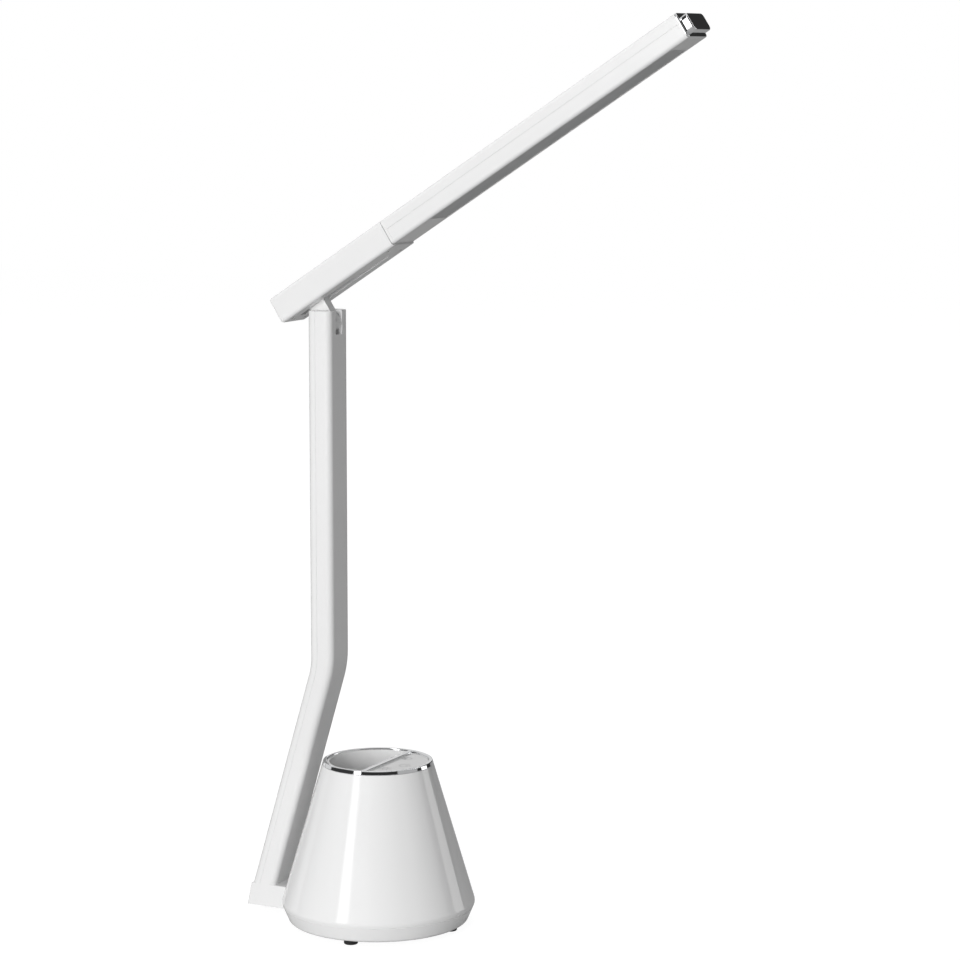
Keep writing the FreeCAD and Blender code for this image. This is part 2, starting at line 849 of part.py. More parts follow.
def fork_slot():
    return box(stem_axis_x - stem_depth, stem_axis_x + stem_depth, -slot_width / 2, slot_width / 2,
               slot_z, stem_top_z + overrun)


def pin_hole(radius):
    reach = slot_width / 2 + slot_wall + overrun
    return rod(radius, Vector(pivot_x, -reach, pivot_z), Vector(pivot_x, reach, pivot_z))


def stem_split():
    return stem_back_depth - stem_depth / 2


def stem_part(front, rear):
    """All of space between two offsets from the stem's centre line."""
    return stem_band(front, rear, stem_width, stem_top_z + overrun, bracket_top_z - overrun)


def make_stem_shell():
    front = stem_part(stem_depth, stem_split() + fit_gap / 2)
    shell = cut_all(stem_outer(), [stem_cavity(), fork_slot()]).common(front)
    lead_hole = rod(lead_hole_radius, Vector(pivot_x - lead_hole_offset, 0, slot_z - slot_wall - overrun),
                    Vector(pivot_x - lead_hole_offset, 0, slot_z + overrun))
    return cut_all(shell, [pin_hole(pin_radius + fit_gap / 2), lead_hole])


def make_stem_back():
    rear = stem_part(stem_split() - fit_gap / 2, -stem_depth)
    cover = cut_all(stem_outer(), [stem_cavity(), fork_slot()]).common(rear)
    half = stem_width / 2 - stem_wall
    top_z = slot_z - slot_wall - overrun
    foot_z = bracket_top_z + overrun
    tip = stem_split() + stem_tongue_depth
    root = stem_split() - stem_tongue_depth
    tongue = stem_band(tip, root, half - fit_gap, top_z, foot_z)
    root_band = stem_band(stem_split() - fit_gap / 2, root, half + stem_wall / 2, top_z, foot_z)
    inside = stem_band(tip + overrun, root - overrun, half - fit_gap - stem_tongue_wall, top_z + overrun,
                       foot_z - overrun)
    return joined([cover, tongue.fuse(root_band).cut(inside)])


def core_top_z():
    return slot_z - slot_wall - clevis_thickness - fit_gap


def make_core():
    return stem_band(core_thickness / 2, -core_thickness / 2, core_width / 2, core_top_z(), core_foot_z)


def make_stem_wiring():
    """Lead from the fork down the stem, through the bracket and up to the board."""
    run_z = ballast_top_z + stem_wire_radius
    offset = stem_wire_offset
    corners = [(stem_x(offset, core_top_z()), core_top_z()), (stem_x(offset, stem_bend_z), stem_bend_z),
               (stem_x(offset, run_z), run_z), (stem_wire_end_x, run_z), (stem_wire_end_x, board_z)]
    return wire_run([Vector(x, 0, z) for x, z in corners], stem_wire_radius, stem_wire_bend_radius)


# Foot bracket

def tongue_screw_places(z):
    return [Vector(tongue_screw_x, side * tongue_screw_half_span, z) for side in (-1, 1)]


def foot_screw_places(z):
    x = foot_block_centre_x() + foot_screw_front
    return [Vector(x, side * foot_screw_half_span, z) for side in (-1, 1)]


def foot_block_top_z():
    return bracket_z + bracket_cover_height + foot_block_height


def foot_block_centre_x():
    return stem_x(0, bracket_z + bracket_cover_height)


def make_bracket():
    half = stem_width / 2
    body = across_y([
        (bracket_rear(bracket_z), bracket_z), (bracket_rear(bracket_top_z), bracket_top_z),
        (bracket_inner_x, bracket_top_z), (bracket_inner_x, bracket_z)], -half, half)
    rear_edges = [edge for edge in body.Edges if edge.BoundBox.ZMax > bracket_z + fit_gap
                  and edge.BoundBox.XMax < bracket_rear(bracket_top_z) + fit_gap]
    body = body.makeFillet(bracket_round, rear_edges)
    roof_z = bracket_top_z - bracket_wall
    cavity = across_y([
        (bracket_rear(bracket_z - overrun) + bracket_wall, bracket_z - overrun),
        (bracket_rear(roof_z) + bracket_wall, roof_z),
        (bracket_inner_x - bracket_wall, roof_z),
        (bracket_inner_x - bracket_wall, bracket_z - overrun)], bracket_wall - half, half - bracket_wall)
    tongue = box(bracket_inner_x - bracket_wall, tongue_inner_x, -tongue_half_width, tongue_half_width,
                 dish_floor_z + fit_gap, dish_floor_z + fit_gap + tongue_height)
    wire_half = stem_wire_radius + part_gap
    run_z = ballast_top_z + stem_wire_radius
    wire_way = box(bracket_inner_x - bracket_wall - overrun, bracket_inner_x + overrun,
                   -wire_half, wire_half, run_z - wire_half, run_z + wire_half)
    socket = stem_band(core_thickness / 2 + fit_gap, -core_thickness / 2 - fit_gap,
                       core_width / 2 + fit_gap, bracket_top_z + overrun, core_foot_z)
    lead_hole = stem_band(stem_wire_offset + stem_wire_radius + stem_wire_slack,
                          stem_wire_offset - stem_wire_radius - fit_gap,
                          stem_wire_radius + fit_gap, bracket_top_z + overrun, core_foot_z)
    holes = [screw_hole(p, Vector(0, 0, 1), screw_bite) for p in tongue_screw_places(dish_floor_z)]
    return cut_all(joined([body.cut(cavity), tongue]), [wire_way, socket, lead_hole] + holes)


def bracket_rear(z):
    """The bracket's drafted rear face at a height, measured from the stem's foot."""
    top_x = stem_x(-stem_depth / 2, bracket_top_z) - bracket_rear_margin
    return top_x - bracket_rear_lean * (bracket_top_z - z) / (bracket_top_z - bracket_z)


def make_tongue_screws():
    seat = foot_height + flat_head_height + fit_gap
    length = dish_floor_z + screw_bite - seat - fit_gap
    return Part.makeCompound([screw(p, Vector(0, 0, 1), length, screw_radius, screw_head_radius,
                                    flat_head_height) for p in tongue_screw_places(seat)])


def make_bracket_cover():
    half = stem_width / 2 - bracket_wall - fit_gap
    x0 = bracket_rear(bracket_z + bracket_cover_height) + bracket_wall + fit_gap
    x1 = bracket_inner_x - bracket_wall - fit_gap
    plate = box(x0, x1, -half, half, bracket_z, bracket_z + bracket_cover_height)
    cuts = []
    for p in foot_screw_places(bracket_z):
        seat = p + Vector(0, 0, cover_seat_depth)
        cuts.append(rod(screw_head_radius + fit_gap, p - Vector(0, 0, overrun), seat))
        cuts.append(screw_hole(seat, Vector(0, 0, 1), bracket_cover_height))
    return cut_all(plate, cuts)


def make_foot_block():
    half = stem_width / 2 - bracket_wall - fit_gap
    centre = foot_block_centre_x()
    low_z = bracket_z + bracket_cover_height
    rear_x = bracket_rear(foot_block_top_z()) + bracket_wall + foot_block_rear_gap
    block = box(rear_x, centre + foot_block_front, -half, half, low_z, foot_block_top_z())
    slot = stem_band(core_thickness / 2 + fit_gap / 2, -core_thickness / 2 - fit_gap / 2,
                     core_width / 2 + fit_gap, bracket_top_z, core_foot_z)
    holes = [screw_hole(p, Vector(0, 0, 1), screw_bite) for p in foot_screw_places(low_z)]
    return cut_all(block, [slot] + holes)


def make_foot_screws():
    seat = bracket_z + cover_seat_depth
    length = bracket_cover_height - cover_seat_depth + screw_bite - fit_gap
    return Part.makeCompound([screw(p, Vector(0, 0, 1), length, screw_radius, screw_head_radius,
                                    flat_head_height) for p in foot_screw_places(seat)])


# Fork hinge

def make_clevis():
    inner = slot_width / 2 + slot_wall + fit_gap
    outer = inner + clevis_thickness
    low_z = slot_z - slot_wall - fit_gap - clevis_thickness
    ears = []
    for side in (-1, 1):
        y0, y1 = sorted((side * inner, side * outer))
        ear = box(pivot_x - clevis_half_depth, pivot_x + clevis_half_depth - clevis_thickness, y0, y1,
                  low_z, pivot_z)
        cap = rod(clevis_half_depth - clevis_thickness, Vector(pivot_x, y0, pivot_z),
                  Vector(pivot_x, y1, pivot_z))
        ears.append(ear.fuse(cap))
    cross = box(pivot_x - clevis_half_depth, pivot_x + clevis_half_depth - clevis_thickness,
                -outer, outer, low_z, low_z + clevis_thickness)
    strap = box(stem_axis_x - core_thickness / 2 - clevis_thickness, stem_axis_x - core_thickness / 2,
                -core_width / 2, core_width / 2, low_z - clevis_drop, low_z + clevis_thickness)
    reach = outer + overrun
    hole = rod(pin_radius + fit_gap / 2, Vector(pivot_x, -reach, pivot_z),
               Vector(pivot_x, reach, pivot_z))
    lead_x = pivot_x - lead_hole_offset
    lead_hole = rod(lead_hole_radius, Vector(lead_x, 0, low_z - overrun),
                    Vector(lead_x, 0, low_z + clevis_thickness + overrun))
    return cut_all(joined([cross, strap] + ears), [hole, lead_hole])


def ear_face():
    return slot_width / 2 + slot_wall + fit_gap + clevis_thickness


def make_pin():
    face = ear_face()
    shank_end = face + nut_height
    shank = rod(pin_radius, Vector(pivot_x, -face, pivot_z), Vector(pivot_x, shank_end, pivot_z))
    head = rod(pin_head_radius, Vector(pivot_x, -face - pin_head_height, pivot_z),
               Vector(pivot_x, -face, pivot_z))
    return shank.fuse(head)


def make_pin_nut():
    face = ear_face()
    corners = [on_circle(nut_radius, angle) for angle in evenly(6, 0)]
    wire = Part.makePolygon([Vector(pivot_x + c.x, face, pivot_z + c.y) for c in corners + corners[:1]])
    nut = Part.Face(wire).extrude(Vector(0, nut_height, 0))
    return nut.cut(rod(pin_radius + fit_gap / 2, Vector(pivot_x, face - overrun, pivot_z),
                       Vector(pivot_x, face + nut_height + overrun, pivot_z)))


def make_hinge_washers():
    washers = []
    for side in (-1, 1):
        y0, y1 = sorted((side * (slot_width / 2 - washer_thickness), side * slot_width / 2))
        washers.append(tube(washer_radius, pin_radius + running_gap, Vector(pivot_x, y0, pivot_z),
                            Vector(pivot_x, y1, pivot_z)))
    return Part.makeCompound(washers)


# Rear section of the head, drawn level with the pivot at the origin

def trough_low():
    return head_rise + trough_depth


def neck_plate_z():
    return trough_low() + trough_floor


def neck_screw_places(z):
    x_rear = neck_screw_inset - neck_plate_rear
    x_front = neck_plate_front - neck_screw_inset
    half = neck_plate_half_width - neck_screw_inset
    return [Vector(x, side * half, z) for x in (x_rear, x_front) for side in (-1, 1)]


def make_neck():
    half = neck_width / 2
    barrel = rod(neck_half_depth, Vector(0, -half, 0), Vector(0, half, 0))
    arm = across_y([(-neck_half_depth, 0), (neck_half_depth, 0), (neck_half_depth, neck_plate_z()),
                    (-neck_root_rear, neck_plate_z()), (-neck_root_rear, head_rise)], -half, half)
    plate = box(-neck_plate_rear, neck_plate_front, -neck_plate_half_width, neck_plate_half_width,
                neck_plate_z(), neck_plate_z() + neck_plate_thickness)
    bore = rod(pin_radius + running_gap, Vector(0, -half - overrun, 0), Vector(0, half + overrun, 0))
    holes = [screw_hole(p, Vector(0, 0, 1), neck_plate_thickness + overrun)
             for p in neck_screw_places(neck_plate_z())]
    lead_hole = rod(lead_hole_radius, Vector(-lead_hole_offset, 0, -neck_half_depth),
                    Vector(-lead_hole_offset, 0, neck_plate_z() + neck_plate_thickness + overrun))
    return cut_all(joined([barrel, arm, plate]), [bore, lead_hole] + holes)


def head_section(low):
    """Cross-section of the head as (y, z, corner radius) points."""
    half = head_width / 2
    return [(-half, low, head_lower_round), (half, low, head_lower_round),
            (half, head_top, head_upper_round), (-half, head_top, head_upper_round)]


def inner_section(low, wall):
    half = head_width / 2 - wall
    top = head_top - wall
    upper_round = head_upper_round - wall
    if upper_round < fit_gap:
        upper_round = 0
    return [(-half, low + wall, hollow_low_round), (half, low + wall, hollow_low_round),
            (half, top, upper_round), (-half, top, upper_round)]


def cover_span(gap):
    x0 = -rear_end + rear_cover_inset - gap
    x1 = rear_front - rear_cover_inset + gap
    return x0, x1, rear_cover_half_width + gap


def cover_screw_places(z):
    x0, x1, _ = cover_span(0)
    rows = (x0 + rear_cover_rear_screw_inset, x1 - rear_cover_front_screw_inset)
    return [Vector(x, side * rear_cover_screw_half_span, z) for x in rows for side in (-1, 1)]


def make_rear_housing():
    block = along_x(head_section(head_rise), -rear_end, rear_front)
    end_edges = [edge for edge in block.Edges if edge.BoundBox.XMax < -rear_end + fit_gap]
    block = block.makeFillet(head_end_round, end_edges)
    hollow = along_x(inner_section(head_rise, head_wall), head_wall - rear_end, rear_front - head_wall)
    x0, x1, half = cover_span(fit_gap)
    mouth = box(x0, x1, -half, half, head_rise - overrun, head_rise + head_wall + overrun)
    shell = cut_all(block, [hollow, mouth])
    roof = head_top - head_wall
    posts = [rod(panel_post_radius + head_wall / 2, p, Vector(p.x, p.y, roof + head_wall / 2))
             for p in neck_screw_places(neck_plate_z() + neck_plate_thickness)]
    posts += [rod(panel_post_radius, p, Vector(p.x, p.y, roof + head_wall / 2))
              for p in cover_screw_places(head_rise + rear_cover_thickness + fit_gap)]
    shell = joined([shell] + posts)
    cuts = [screw_hole(p, Vector(0, 0, 1), neck_screw_bite())
            for p in neck_screw_places(neck_plate_z() + neck_plate_thickness)]
    cuts += [screw_hole(p, Vector(0, 0, 1), screw_bite, small_screw_radius)
             for p in cover_screw_places(head_rise + rear_cover_thickness + fit_gap)]
    cuts.append(rod(bush_radius + fit_gap / 2, Vector(rear_front - head_wall - overrun, 0, roll_z),
                    Vector(rear_front + overrun, 0, roll_z)))
    return cut_all(shell, cuts)


def neck_screw_bite():
    """Length of screw in the housing's posts, short of its roof."""
    return head_top - head_wall - neck_plate_z() - neck_plate_thickness


def make_neck_screws():
    length = neck_plate_thickness + neck_screw_bite() - fit_gap
    return Part.makeCompound([screw(p, Vector(0, 0, 1), length, screw_radius, screw_head_radius,
                                    trough_floor - fit_gap) for p in neck_screw_places(neck_plate_z())])


def trough_profile():
    """Side view of the trough: level and deep at the neck, then a ramp to the front."""
    deep_end = trough_deep_length - trough_rear
    ramp_end = deep_end + trough_ramp_length
    low = head_rise
    return [(-trough_rear, low), (-trough_rear, low + trough_depth), (deep_end, low + trough_depth),
            (ramp_end, low + trough_ramp_depth), (trough_front, low + trough_end_depth),
            (trough_front, low)]


def trough_plan(half, x0, x1):
    """Plan of the trough: square behind the neck, with a rounded front end."""
    return [(x0, -half), (x1, -half, half - fit_gap), (x1, half, half - fit_gap), (x0, half)]


def make_rear_cover():
    x0, x1, half = cover_span(0)
    plate = box(x0, x1, -half, half, head_rise, head_rise + rear_cover_thickness)
    half_slot = trough_width / 2
    raised = [(x, z + trough_floor) if z > head_rise else (x, z) for x, z in trough_profile()]
    raised[0] = (raised[0][0] - trough_floor, raised[0][1])
    raised[1] = (raised[1][0] - trough_floor, raised[1][1])
    hump = across_y(raised, -half_slot - trough_floor, half_slot + trough_floor)
    screw_room = [rod(screw_head_radius + fit_gap, p - Vector(0, 0, neck_plate_z()), p)
                  for p in neck_screw_places(neck_plate_z())]
    hump = hump.cut(box(x0, x1, -half, half, neck_plate_z(), head_top))
    cover = joined([plate, hump])
    well = across_y([(x, z - overrun) if z == head_rise else (x, z) for x, z in trough_profile()],
                    -half_slot, half_slot)
    well = well.common(along_z(trough_plan(half_slot, -trough_rear, trough_front),
                               head_rise - overrun, head_top))
    arm_half_y = neck_width / 2 + fit_gap
    arm_way = box(-neck_root_rear - fit_gap, neck_half_depth + fit_gap, -arm_half_y, arm_half_y,
                  head_rise - overrun, head_top)
    cuts = [well, arm_way]
    for p in cover_screw_places(head_rise):
        seat = p + Vector(0, 0, small_screw_head_height + fit_gap)
        cuts.append(rod(small_screw_head_radius + fit_gap, p - Vector(0, 0, overrun), seat))
        cuts.append(rod(small_screw_radius + fit_gap, p, p + Vector(0, 0, rear_cover_thickness + overrun)))
    upper_screw_room = [tool.common(box(x0, x1, -half, half, head_rise + rear_cover_thickness, head_top))
                        for tool in screw_room]
    return cut_all(cover, cuts + upper_screw_room)


def make_rear_cover_screws():
    seat = head_rise + small_screw_head_height + fit_gap
    length = rear_cover_thickness + screw_bite - small_screw_head_height
    return Part.makeCompound([screw(p, Vector(0, 0, 1), length, small_screw_radius,
                                    small_screw_head_radius, small_screw_head_height)
                              for p in cover_screw_places(seat)])


def make_roll_bush():
    inner_face = rear_front - head_wall
    sleeve = rod(bush_radius, Vector(inner_face - bush_flange_height, 0, roll_z),
                 Vector(rear_front, 0, roll_z))
    flange = rod(bush_flange_radius, Vector(inner_face - bush_flange_height, 0, roll_z),
                 Vector(inner_face, 0, roll_z))
    bore = rod(spindle_radius + running_gap, Vector(inner_face - overrun * 4, 0, roll_z),
               Vector(rear_front + overrun, 0, roll_z))
    return sleeve.fuse(flange).cut(bore)


def make_head_wiring():
    """Lead along the rear section, from the neck to the roll spindle."""
    z0 = neck_plate_z() + neck_plate_thickness + head_wire_radius
    start = Vector(0, 0, z0)
    end = Vector(spindle_rear() - fit_gap, 0, roll_z)
    third = (end.x - start.x) / 3
    points = [start, Vector(start.x + third, 0, z0), Vector(end.x - third, 0, roll_z), end]
    return wire_run(points, head_wire_radius, head_wire_bend_radius)


# Light bar, drawn in the head's own frame

def bush_rear():
    return rear_front - head_wall - bush_flange_height


def spindle_rear():
    return bush_rear() - spring_washer_height - clip_height - clip_height


def make_spindle():
    wall_face = light_rear + light_end_wall
    shaft = rod(spindle_radius, Vector(spindle_rear(), 0, roll_z), Vector(wall_face, 0, roll_z))
    flange = rod(spindle_flange_radius, Vector(wall_face, 0, roll_z),
                 Vector(wall_face + spindle_flange_height, 0, roll_z))
    bore = rod(spindle_bore_radius, Vector(spindle_rear() - overrun, 0, roll_z),
               Vector(wall_face + spindle_flange_height + overrun, 0, roll_z))
    holes = [screw_hole(p, Vector(-1, 0, 0), spindle_flange_height + overrun, small_screw_radius)
             for p in spindle_screw_places(wall_face + spindle_flange_height)]
    return cut_all(shaft.fuse(flange), [bore] + holes)


def spindle_screw_places(x):
    return [Vector(x, on_circle(spindle_screw_circle_radius, a).x,
                   roll_z + on_circle(spindle_screw_circle_radius, a).y)
            for a in evenly(spindle_screw_count, 90)]


def make_spindle_screws():
    seat = light_rear + light_end_wall + spindle_flange_height
    length = spindle_flange_height + light_end_wall / 2
    return Part.makeCompound([screw(p, Vector(-1, 0, 0), length, small_screw_radius,
                                    small_screw_head_radius, small_screw_head_height)
                              for p in spindle_screw_places(seat)])


def make_spring_washer():
    x1 = bush_rear() - running_gap
    return tube(clip_radius, spindle_radius + running_gap,
                Vector(x1 - spring_washer_height + running_gap, 0, roll_z), Vector(x1, 0, roll_z))


def make_spindle_clip():
    x1 = bush_rear() - spring_washer_height
    return tube(clip_radius, spindle_radius, Vector(x1 - clip_height, 0, roll_z), Vector(x1, 0, roll_z))


def light_outer():
    return along_x(head_section(light_floor), light_rear, light_front)


def light_hollow():
    return along_x(inner_section(light_floor, light_wall), light_rear + light_end_wall,
                   light_front + overrun)


def led_board_low():
    return parting_z - led_drop + spreader_thickness


def spreader_low():
    return led_board_low() + led_board_thickness


def light_screw_places(z):
    span = window_length - led_board_end_gap * 2
    start = window_rear + led_board_end_gap
    return [Vector(start + span * (i + 0.5) / light_screw_count, 0, z) for i in range(light_screw_count)]


def make_light_cover():
    low_part = box(light_rear + light_end_wall, light_front + overrun, -head_width, head_width,
                   light_floor - overrun, parting_z + fit_gap / 2)
    cover = cut_all(light_outer(), [light_hollow(), low_part])
    seat_z = spreader_low() + spreader_thickness
    posts = [rod(light_post_radius, p, Vector(p.x, p.y, head_top - light_wall / 2))
             for p in light_screw_places(seat_z)]
    cover = joined([cover] + posts)
    cuts = [screw_hole(p, Vector(0, 0, 1), light_screw_bite()) for p in light_screw_places(seat_z)]
    cuts.append(rod(spindle_radius + fit_gap / 2, Vector(light_rear - overrun, 0, roll_z),
                    Vector(light_rear + light_end_wall + overrun, 0, roll_z)))
    cuts += [screw_hole(p, Vector(-1, 0, 0), light_end_wall / 2, small_screw_radius)
             for p in spindle_screw_places(light_rear + light_end_wall)]
    return cut_all(cover, cuts)


def light_screw_bite():
    return head_top - light_wall - spreader_low() - spreader_thickness


def window_block(inset, z0, z1):
    half = window_half_width - inset
    return box(window_rear + inset, window_front - inset, -half, half, z0, z1)


def make_light_tray():
    low_part = box(light_rear + light_end_wall + fit_gap / 2, light_front, -head_width, head_width,
                   light_floor - overrun, parting_z - fit_gap / 2)
    tray = light_outer().common(low_part).cut(light_hollow())
    wall_face = head_width / 2 - light_wall
    x0 = light_rear + light_end_wall + part_gap
    x1 = light_front - flange_plug_length - part_gap
    tongues = []
    for side in (-1, 1):
        tip = sorted((side * (wall_face - fit_gap), side * (wall_face - fit_gap - tray_tongue_wall)))
        root = sorted((side * (wall_face + fit_gap), side * (wall_face - fit_gap - tray_tongue_wall)))
        tongues.append(box(x0, x1, tip[0], tip[1], parting_z - tray_tongue_height,
                           parting_z + tray_tongue_height))
        tongues.append(box(x0, x1, root[0], root[1], parting_z - tray_tongue_height,
                           parting_z - fit_gap / 2))
    tray = joined([tray] + tongues)
    return tray.cut(window_block(0, light_floor - overrun, light_floor + light_wall + overrun))


def make_diffuser():
    low = light_floor + diffuser_recess
    lip_low = light_floor + light_wall
    plate = window_block(fit_gap, low, lip_low)
    lip = window_block(-diffuser_lip, lip_low, lip_low + diffuser_lip_thickness)
    return joined([plate, lip])


def led_span():
    return window_rear + led_board_end_gap, window_front - led_board_end_gap


def make_led_board():
    x0, x1 = led_span()
    board = box(x0, x1, -led_board_half_width, led_board_half_width, led_board_low(), spreader_low())
    return cut_all(board, [screw_hole(p, Vector(0, 0, 1), led_board_thickness + overrun)
                           for p in light_screw_places(led_board_low())])


def make_leds():
    x0, x1 = led_span()
    pitch = (x1 - x0) / led_columns
    leds = []
    for column in range(led_columns):
        for row in range(led_rows):
            x = x0 + pitch * (column + 0.5)
            y = led_row_pitch * (row - (led_rows - 1) / 2)
            half = led_side / 2
            leds.append(box(x - half, x + half, y - half, y + half, led_board_low() - led_height,
                            led_board_low()))
    return Part.makeCompound(leds)


def make_spreader():
    x0, x1 = led_span()
    bar = box(x0, x1, -spreader_half_width, spreader_half_width, spreader_low(),
              spreader_low() + spreader_thickness)
    return cut_all(bar, [screw_hole(p, Vector(0, 0, 1), spreader_thickness + overrun)
                         for p in light_screw_places(spreader_low())])


def make_light_screws():
    length = led_board_thickness + spreader_thickness + light_screw_bite() - fit_gap
    return Part.makeCompound([screw(p, Vector(0, 0, 1), length)
                              for p in light_screw_places(led_board_low())])


def make_light_wiring():
    start = light_rear + light_end_wall + spindle_flange_height
    x1, _ = led_span()
    return rod(head_wire_radius, Vector(start, 0, roll_z), Vector(x1, 0, roll_z))


def make_flange():
    plate = along_x(head_section(light_floor), light_front, light_front + flange_thickness)
    front_x = light_front + flange_thickness - fit_gap
    edges = [edge for edge in plate.Edges if edge.BoundBox.XMin > front_x]
    plate = plate.makeFillet(flange_round, edges)
    plug = along_x(inner_section(light_floor, light_wall + fit_gap), light_front - flange_plug_length,
                   light_front)
    hollow = along_x(inner_section(light_floor, light_wall + flange_plug_wall),
                     light_front - flange_plug_length - overrun, light_front)
    return joined([plate, plug.cut(hollow)])


def make_block():
    half = head_width / 2 - block_side_inset
    low = light_floor + block_low_inset
    high = head_top - block_top_inset
    x0 = light_front + flange_thickness
    corners = [(-half, low), (half, low), (half, high), (-half, high)]
    block = along_x([(y, z, block_edge_round) for y, z in corners], x0, x0 + block_length)
    edges = [edge for edge in block.Edges if edge.BoundBox.XMin > x0 + block_length - fit_gap]
    return block.makeFillet(block_round, edges)


def main():
    os.makedirs("parts", exist_ok=True)
    fixed = {
        "rubber_feet": make_feet, "base_dish": make_dish, "cone_shell": make_cone,
        "base_screws": make_base_screws, "rim_ring": make_ring, "pen_cup": make_cup,
        "divider_bar": make_divider_bar, "touch_panel": make_panel, "touch_pads": make_touch_pads,
        "touch_board": make_touch_board, "touch_board_screws": make_touch_board_screws,
        "ballast_plate": make_ballast, "board_spacers": make_spacers, "control_board": make_board,
        "control_board_screws": make_board_screws, "board_components": make_board_components,
        "touch_ribbon": make_touch_ribbon, "power_inlet": make_jack, "power_inlet_nut": make_jack_nut,
        "power_wires": make_power_wires, "foot_bracket": make_bracket,
        "bracket_tongue_screws": make_tongue_screws, "bracket_cover": make_bracket_cover,
        "stem_foot_block": make_foot_block, "stem_foot_screws": make_foot_screws,
        "stem_shell": make_stem_shell, "stem_back_cover": make_stem_back, "stem_core": make_core,
        "stem_wiring": make_stem_wiring, "hinge_clevis": make_clevis, "hinge_pin": make_pin,
        "hinge_pin_nut": make_pin_nut, "hinge_washers": make_hinge_washers}
    for name, make in fixed.items():
        save(name, make())
    head = {
        "neck": make_neck, "rear_housing": make_rear_housing, "rear_bottom_cover": make_rear_cover,
        "neck_screws": make_neck_screws, "rear_cover_screws": make_rear_cover_screws,
        "roll_bush": make_roll_bush, "head_wiring": make_head_wiring, "roll_spindle": make_spindle,
        "spindle_screws": make_spindle_screws, "spring_washer": make_spring_washer,
        "spindle_clip": make_spindle_clip, "light_top_cover": make_light_cover,
        "light_tray": make_light_tray, "diffuser": make_diffuser, "led_board": make_led_board,
        "led_chips": make_leds, "heat_spreader": make_spreader, "heat_spreader_screws": make_light_screws,
        "light_wiring": make_light_wiring, "end_cap_flange": make_flange, "end_cap_block": make_block}
    for name, make in head.items():
        save(name, in_head(make()))


main()
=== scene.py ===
import math

import bmesh
import bpy
from mathutils import Matrix, Vector


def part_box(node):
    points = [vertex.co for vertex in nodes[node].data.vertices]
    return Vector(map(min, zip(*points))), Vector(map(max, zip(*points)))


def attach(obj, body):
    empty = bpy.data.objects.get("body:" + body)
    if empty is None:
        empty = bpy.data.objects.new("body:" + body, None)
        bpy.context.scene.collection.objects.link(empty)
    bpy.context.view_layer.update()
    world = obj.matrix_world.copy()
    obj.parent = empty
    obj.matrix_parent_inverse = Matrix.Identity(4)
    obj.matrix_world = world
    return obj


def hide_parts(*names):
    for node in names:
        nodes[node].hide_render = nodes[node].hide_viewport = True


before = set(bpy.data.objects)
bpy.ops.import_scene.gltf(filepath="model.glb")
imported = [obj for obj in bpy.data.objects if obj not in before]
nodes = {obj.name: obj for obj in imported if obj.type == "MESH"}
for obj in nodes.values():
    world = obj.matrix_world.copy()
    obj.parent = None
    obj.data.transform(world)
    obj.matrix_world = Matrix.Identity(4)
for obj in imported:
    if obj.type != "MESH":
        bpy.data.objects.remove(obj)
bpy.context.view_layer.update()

# Desk lamp with a pen-cup base: finishes, printed marks, screws, studio and camera.
# Metres, unless a name or comment says millimetres. +Z is up, the light bar points towards +X,
# and the stem stands on the -X side.
mm = 0.001
micron = 0.000001

# Camera, as fitted to the photograph
camera_azimuth_deg = 28.33
camera_distance = 2.27321
camera_height = 0.64406
camera_yaw_deg = -1.92
camera_pitch_deg = -7.72
camera_lens_mm = 116.69
camera_sensor_mm = 36.0
clip_near = 0.05
clip_far = 30.0

# The head's hinge and its tilt at rest, as in the solids
pivot = Vector((-37.392, 0.0, 450.8)) * mm
head_tilt = math.radians(32.7)


# Node helpers

def new_material(name):
    material = bpy.data.materials.new(name)
    material.use_nodes = True
    tree = material.node_tree
    shader = next(n for n in tree.nodes if n.type == "BSDF_PRINCIPLED")
    return material, tree, shader


def add(tree, kind, **settings):
    node = tree.nodes.new(kind)
    for name, value in settings.items():
        setattr(node, name, value)
    return node


def object_coords(tree, stretch=(1.0, 1.0, 1.0)):
    coords = add(tree, "ShaderNodeTexCoord")
    mapping = add(tree, "ShaderNodeMapping")
    mapping.inputs["Scale"].default_value = stretch
    tree.links.new(coords.outputs["Object"], mapping.inputs["Vector"])
    return mapping.outputs["Vector"]


def noise(tree, vector, scale, detail, roughness=0.5):
    node = add(tree, "ShaderNodeTexNoise")
    node.inputs["Scale"].default_value = scale
    node.inputs["Detail"].default_value = detail
    node.inputs["Roughness"].default_value = roughness
    tree.links.new(vector, node.inputs["Vector"])
    return node.outputs["Fac"]


def cells(tree, vector, scale, **settings):
    node = add(tree, "ShaderNodeTexVoronoi", **settings)
    node.inputs["Scale"].default_value = scale
    tree.links.new(vector, node.inputs["Vector"])
    return node.outputs["Distance"]


def ramp(tree, factor, stops):
    """Colours over a factor: stops are (place, colour)."""
    node = add(tree, "ShaderNodeValToRGB")
    elements = node.color_ramp.elements
    while len(elements) < len(stops):
        elements.new(1.0)
    for element, (place, colour) in zip(elements, stops):
        element.position = place
        element.color = (*colour, 1.0)
    tree.links.new(factor, node.inputs["Fac"])
    return node.outputs["Color"]


def number_range(tree, factor, to_low, to_high, low=0.3, high=0.7):
    """A number from to_low to_high as the factor goes from low to high."""
    node = add(tree, "ShaderNodeMapRange")
    node.inputs["From Min"].default_value = low
    node.inputs["From Max"].default_value = high
    node.inputs["To Min"].default_value = to_low
    node.inputs["To Max"].default_value = to_high
    tree.links.new(factor, node.inputs["Value"])
    return node.outputs["Result"]


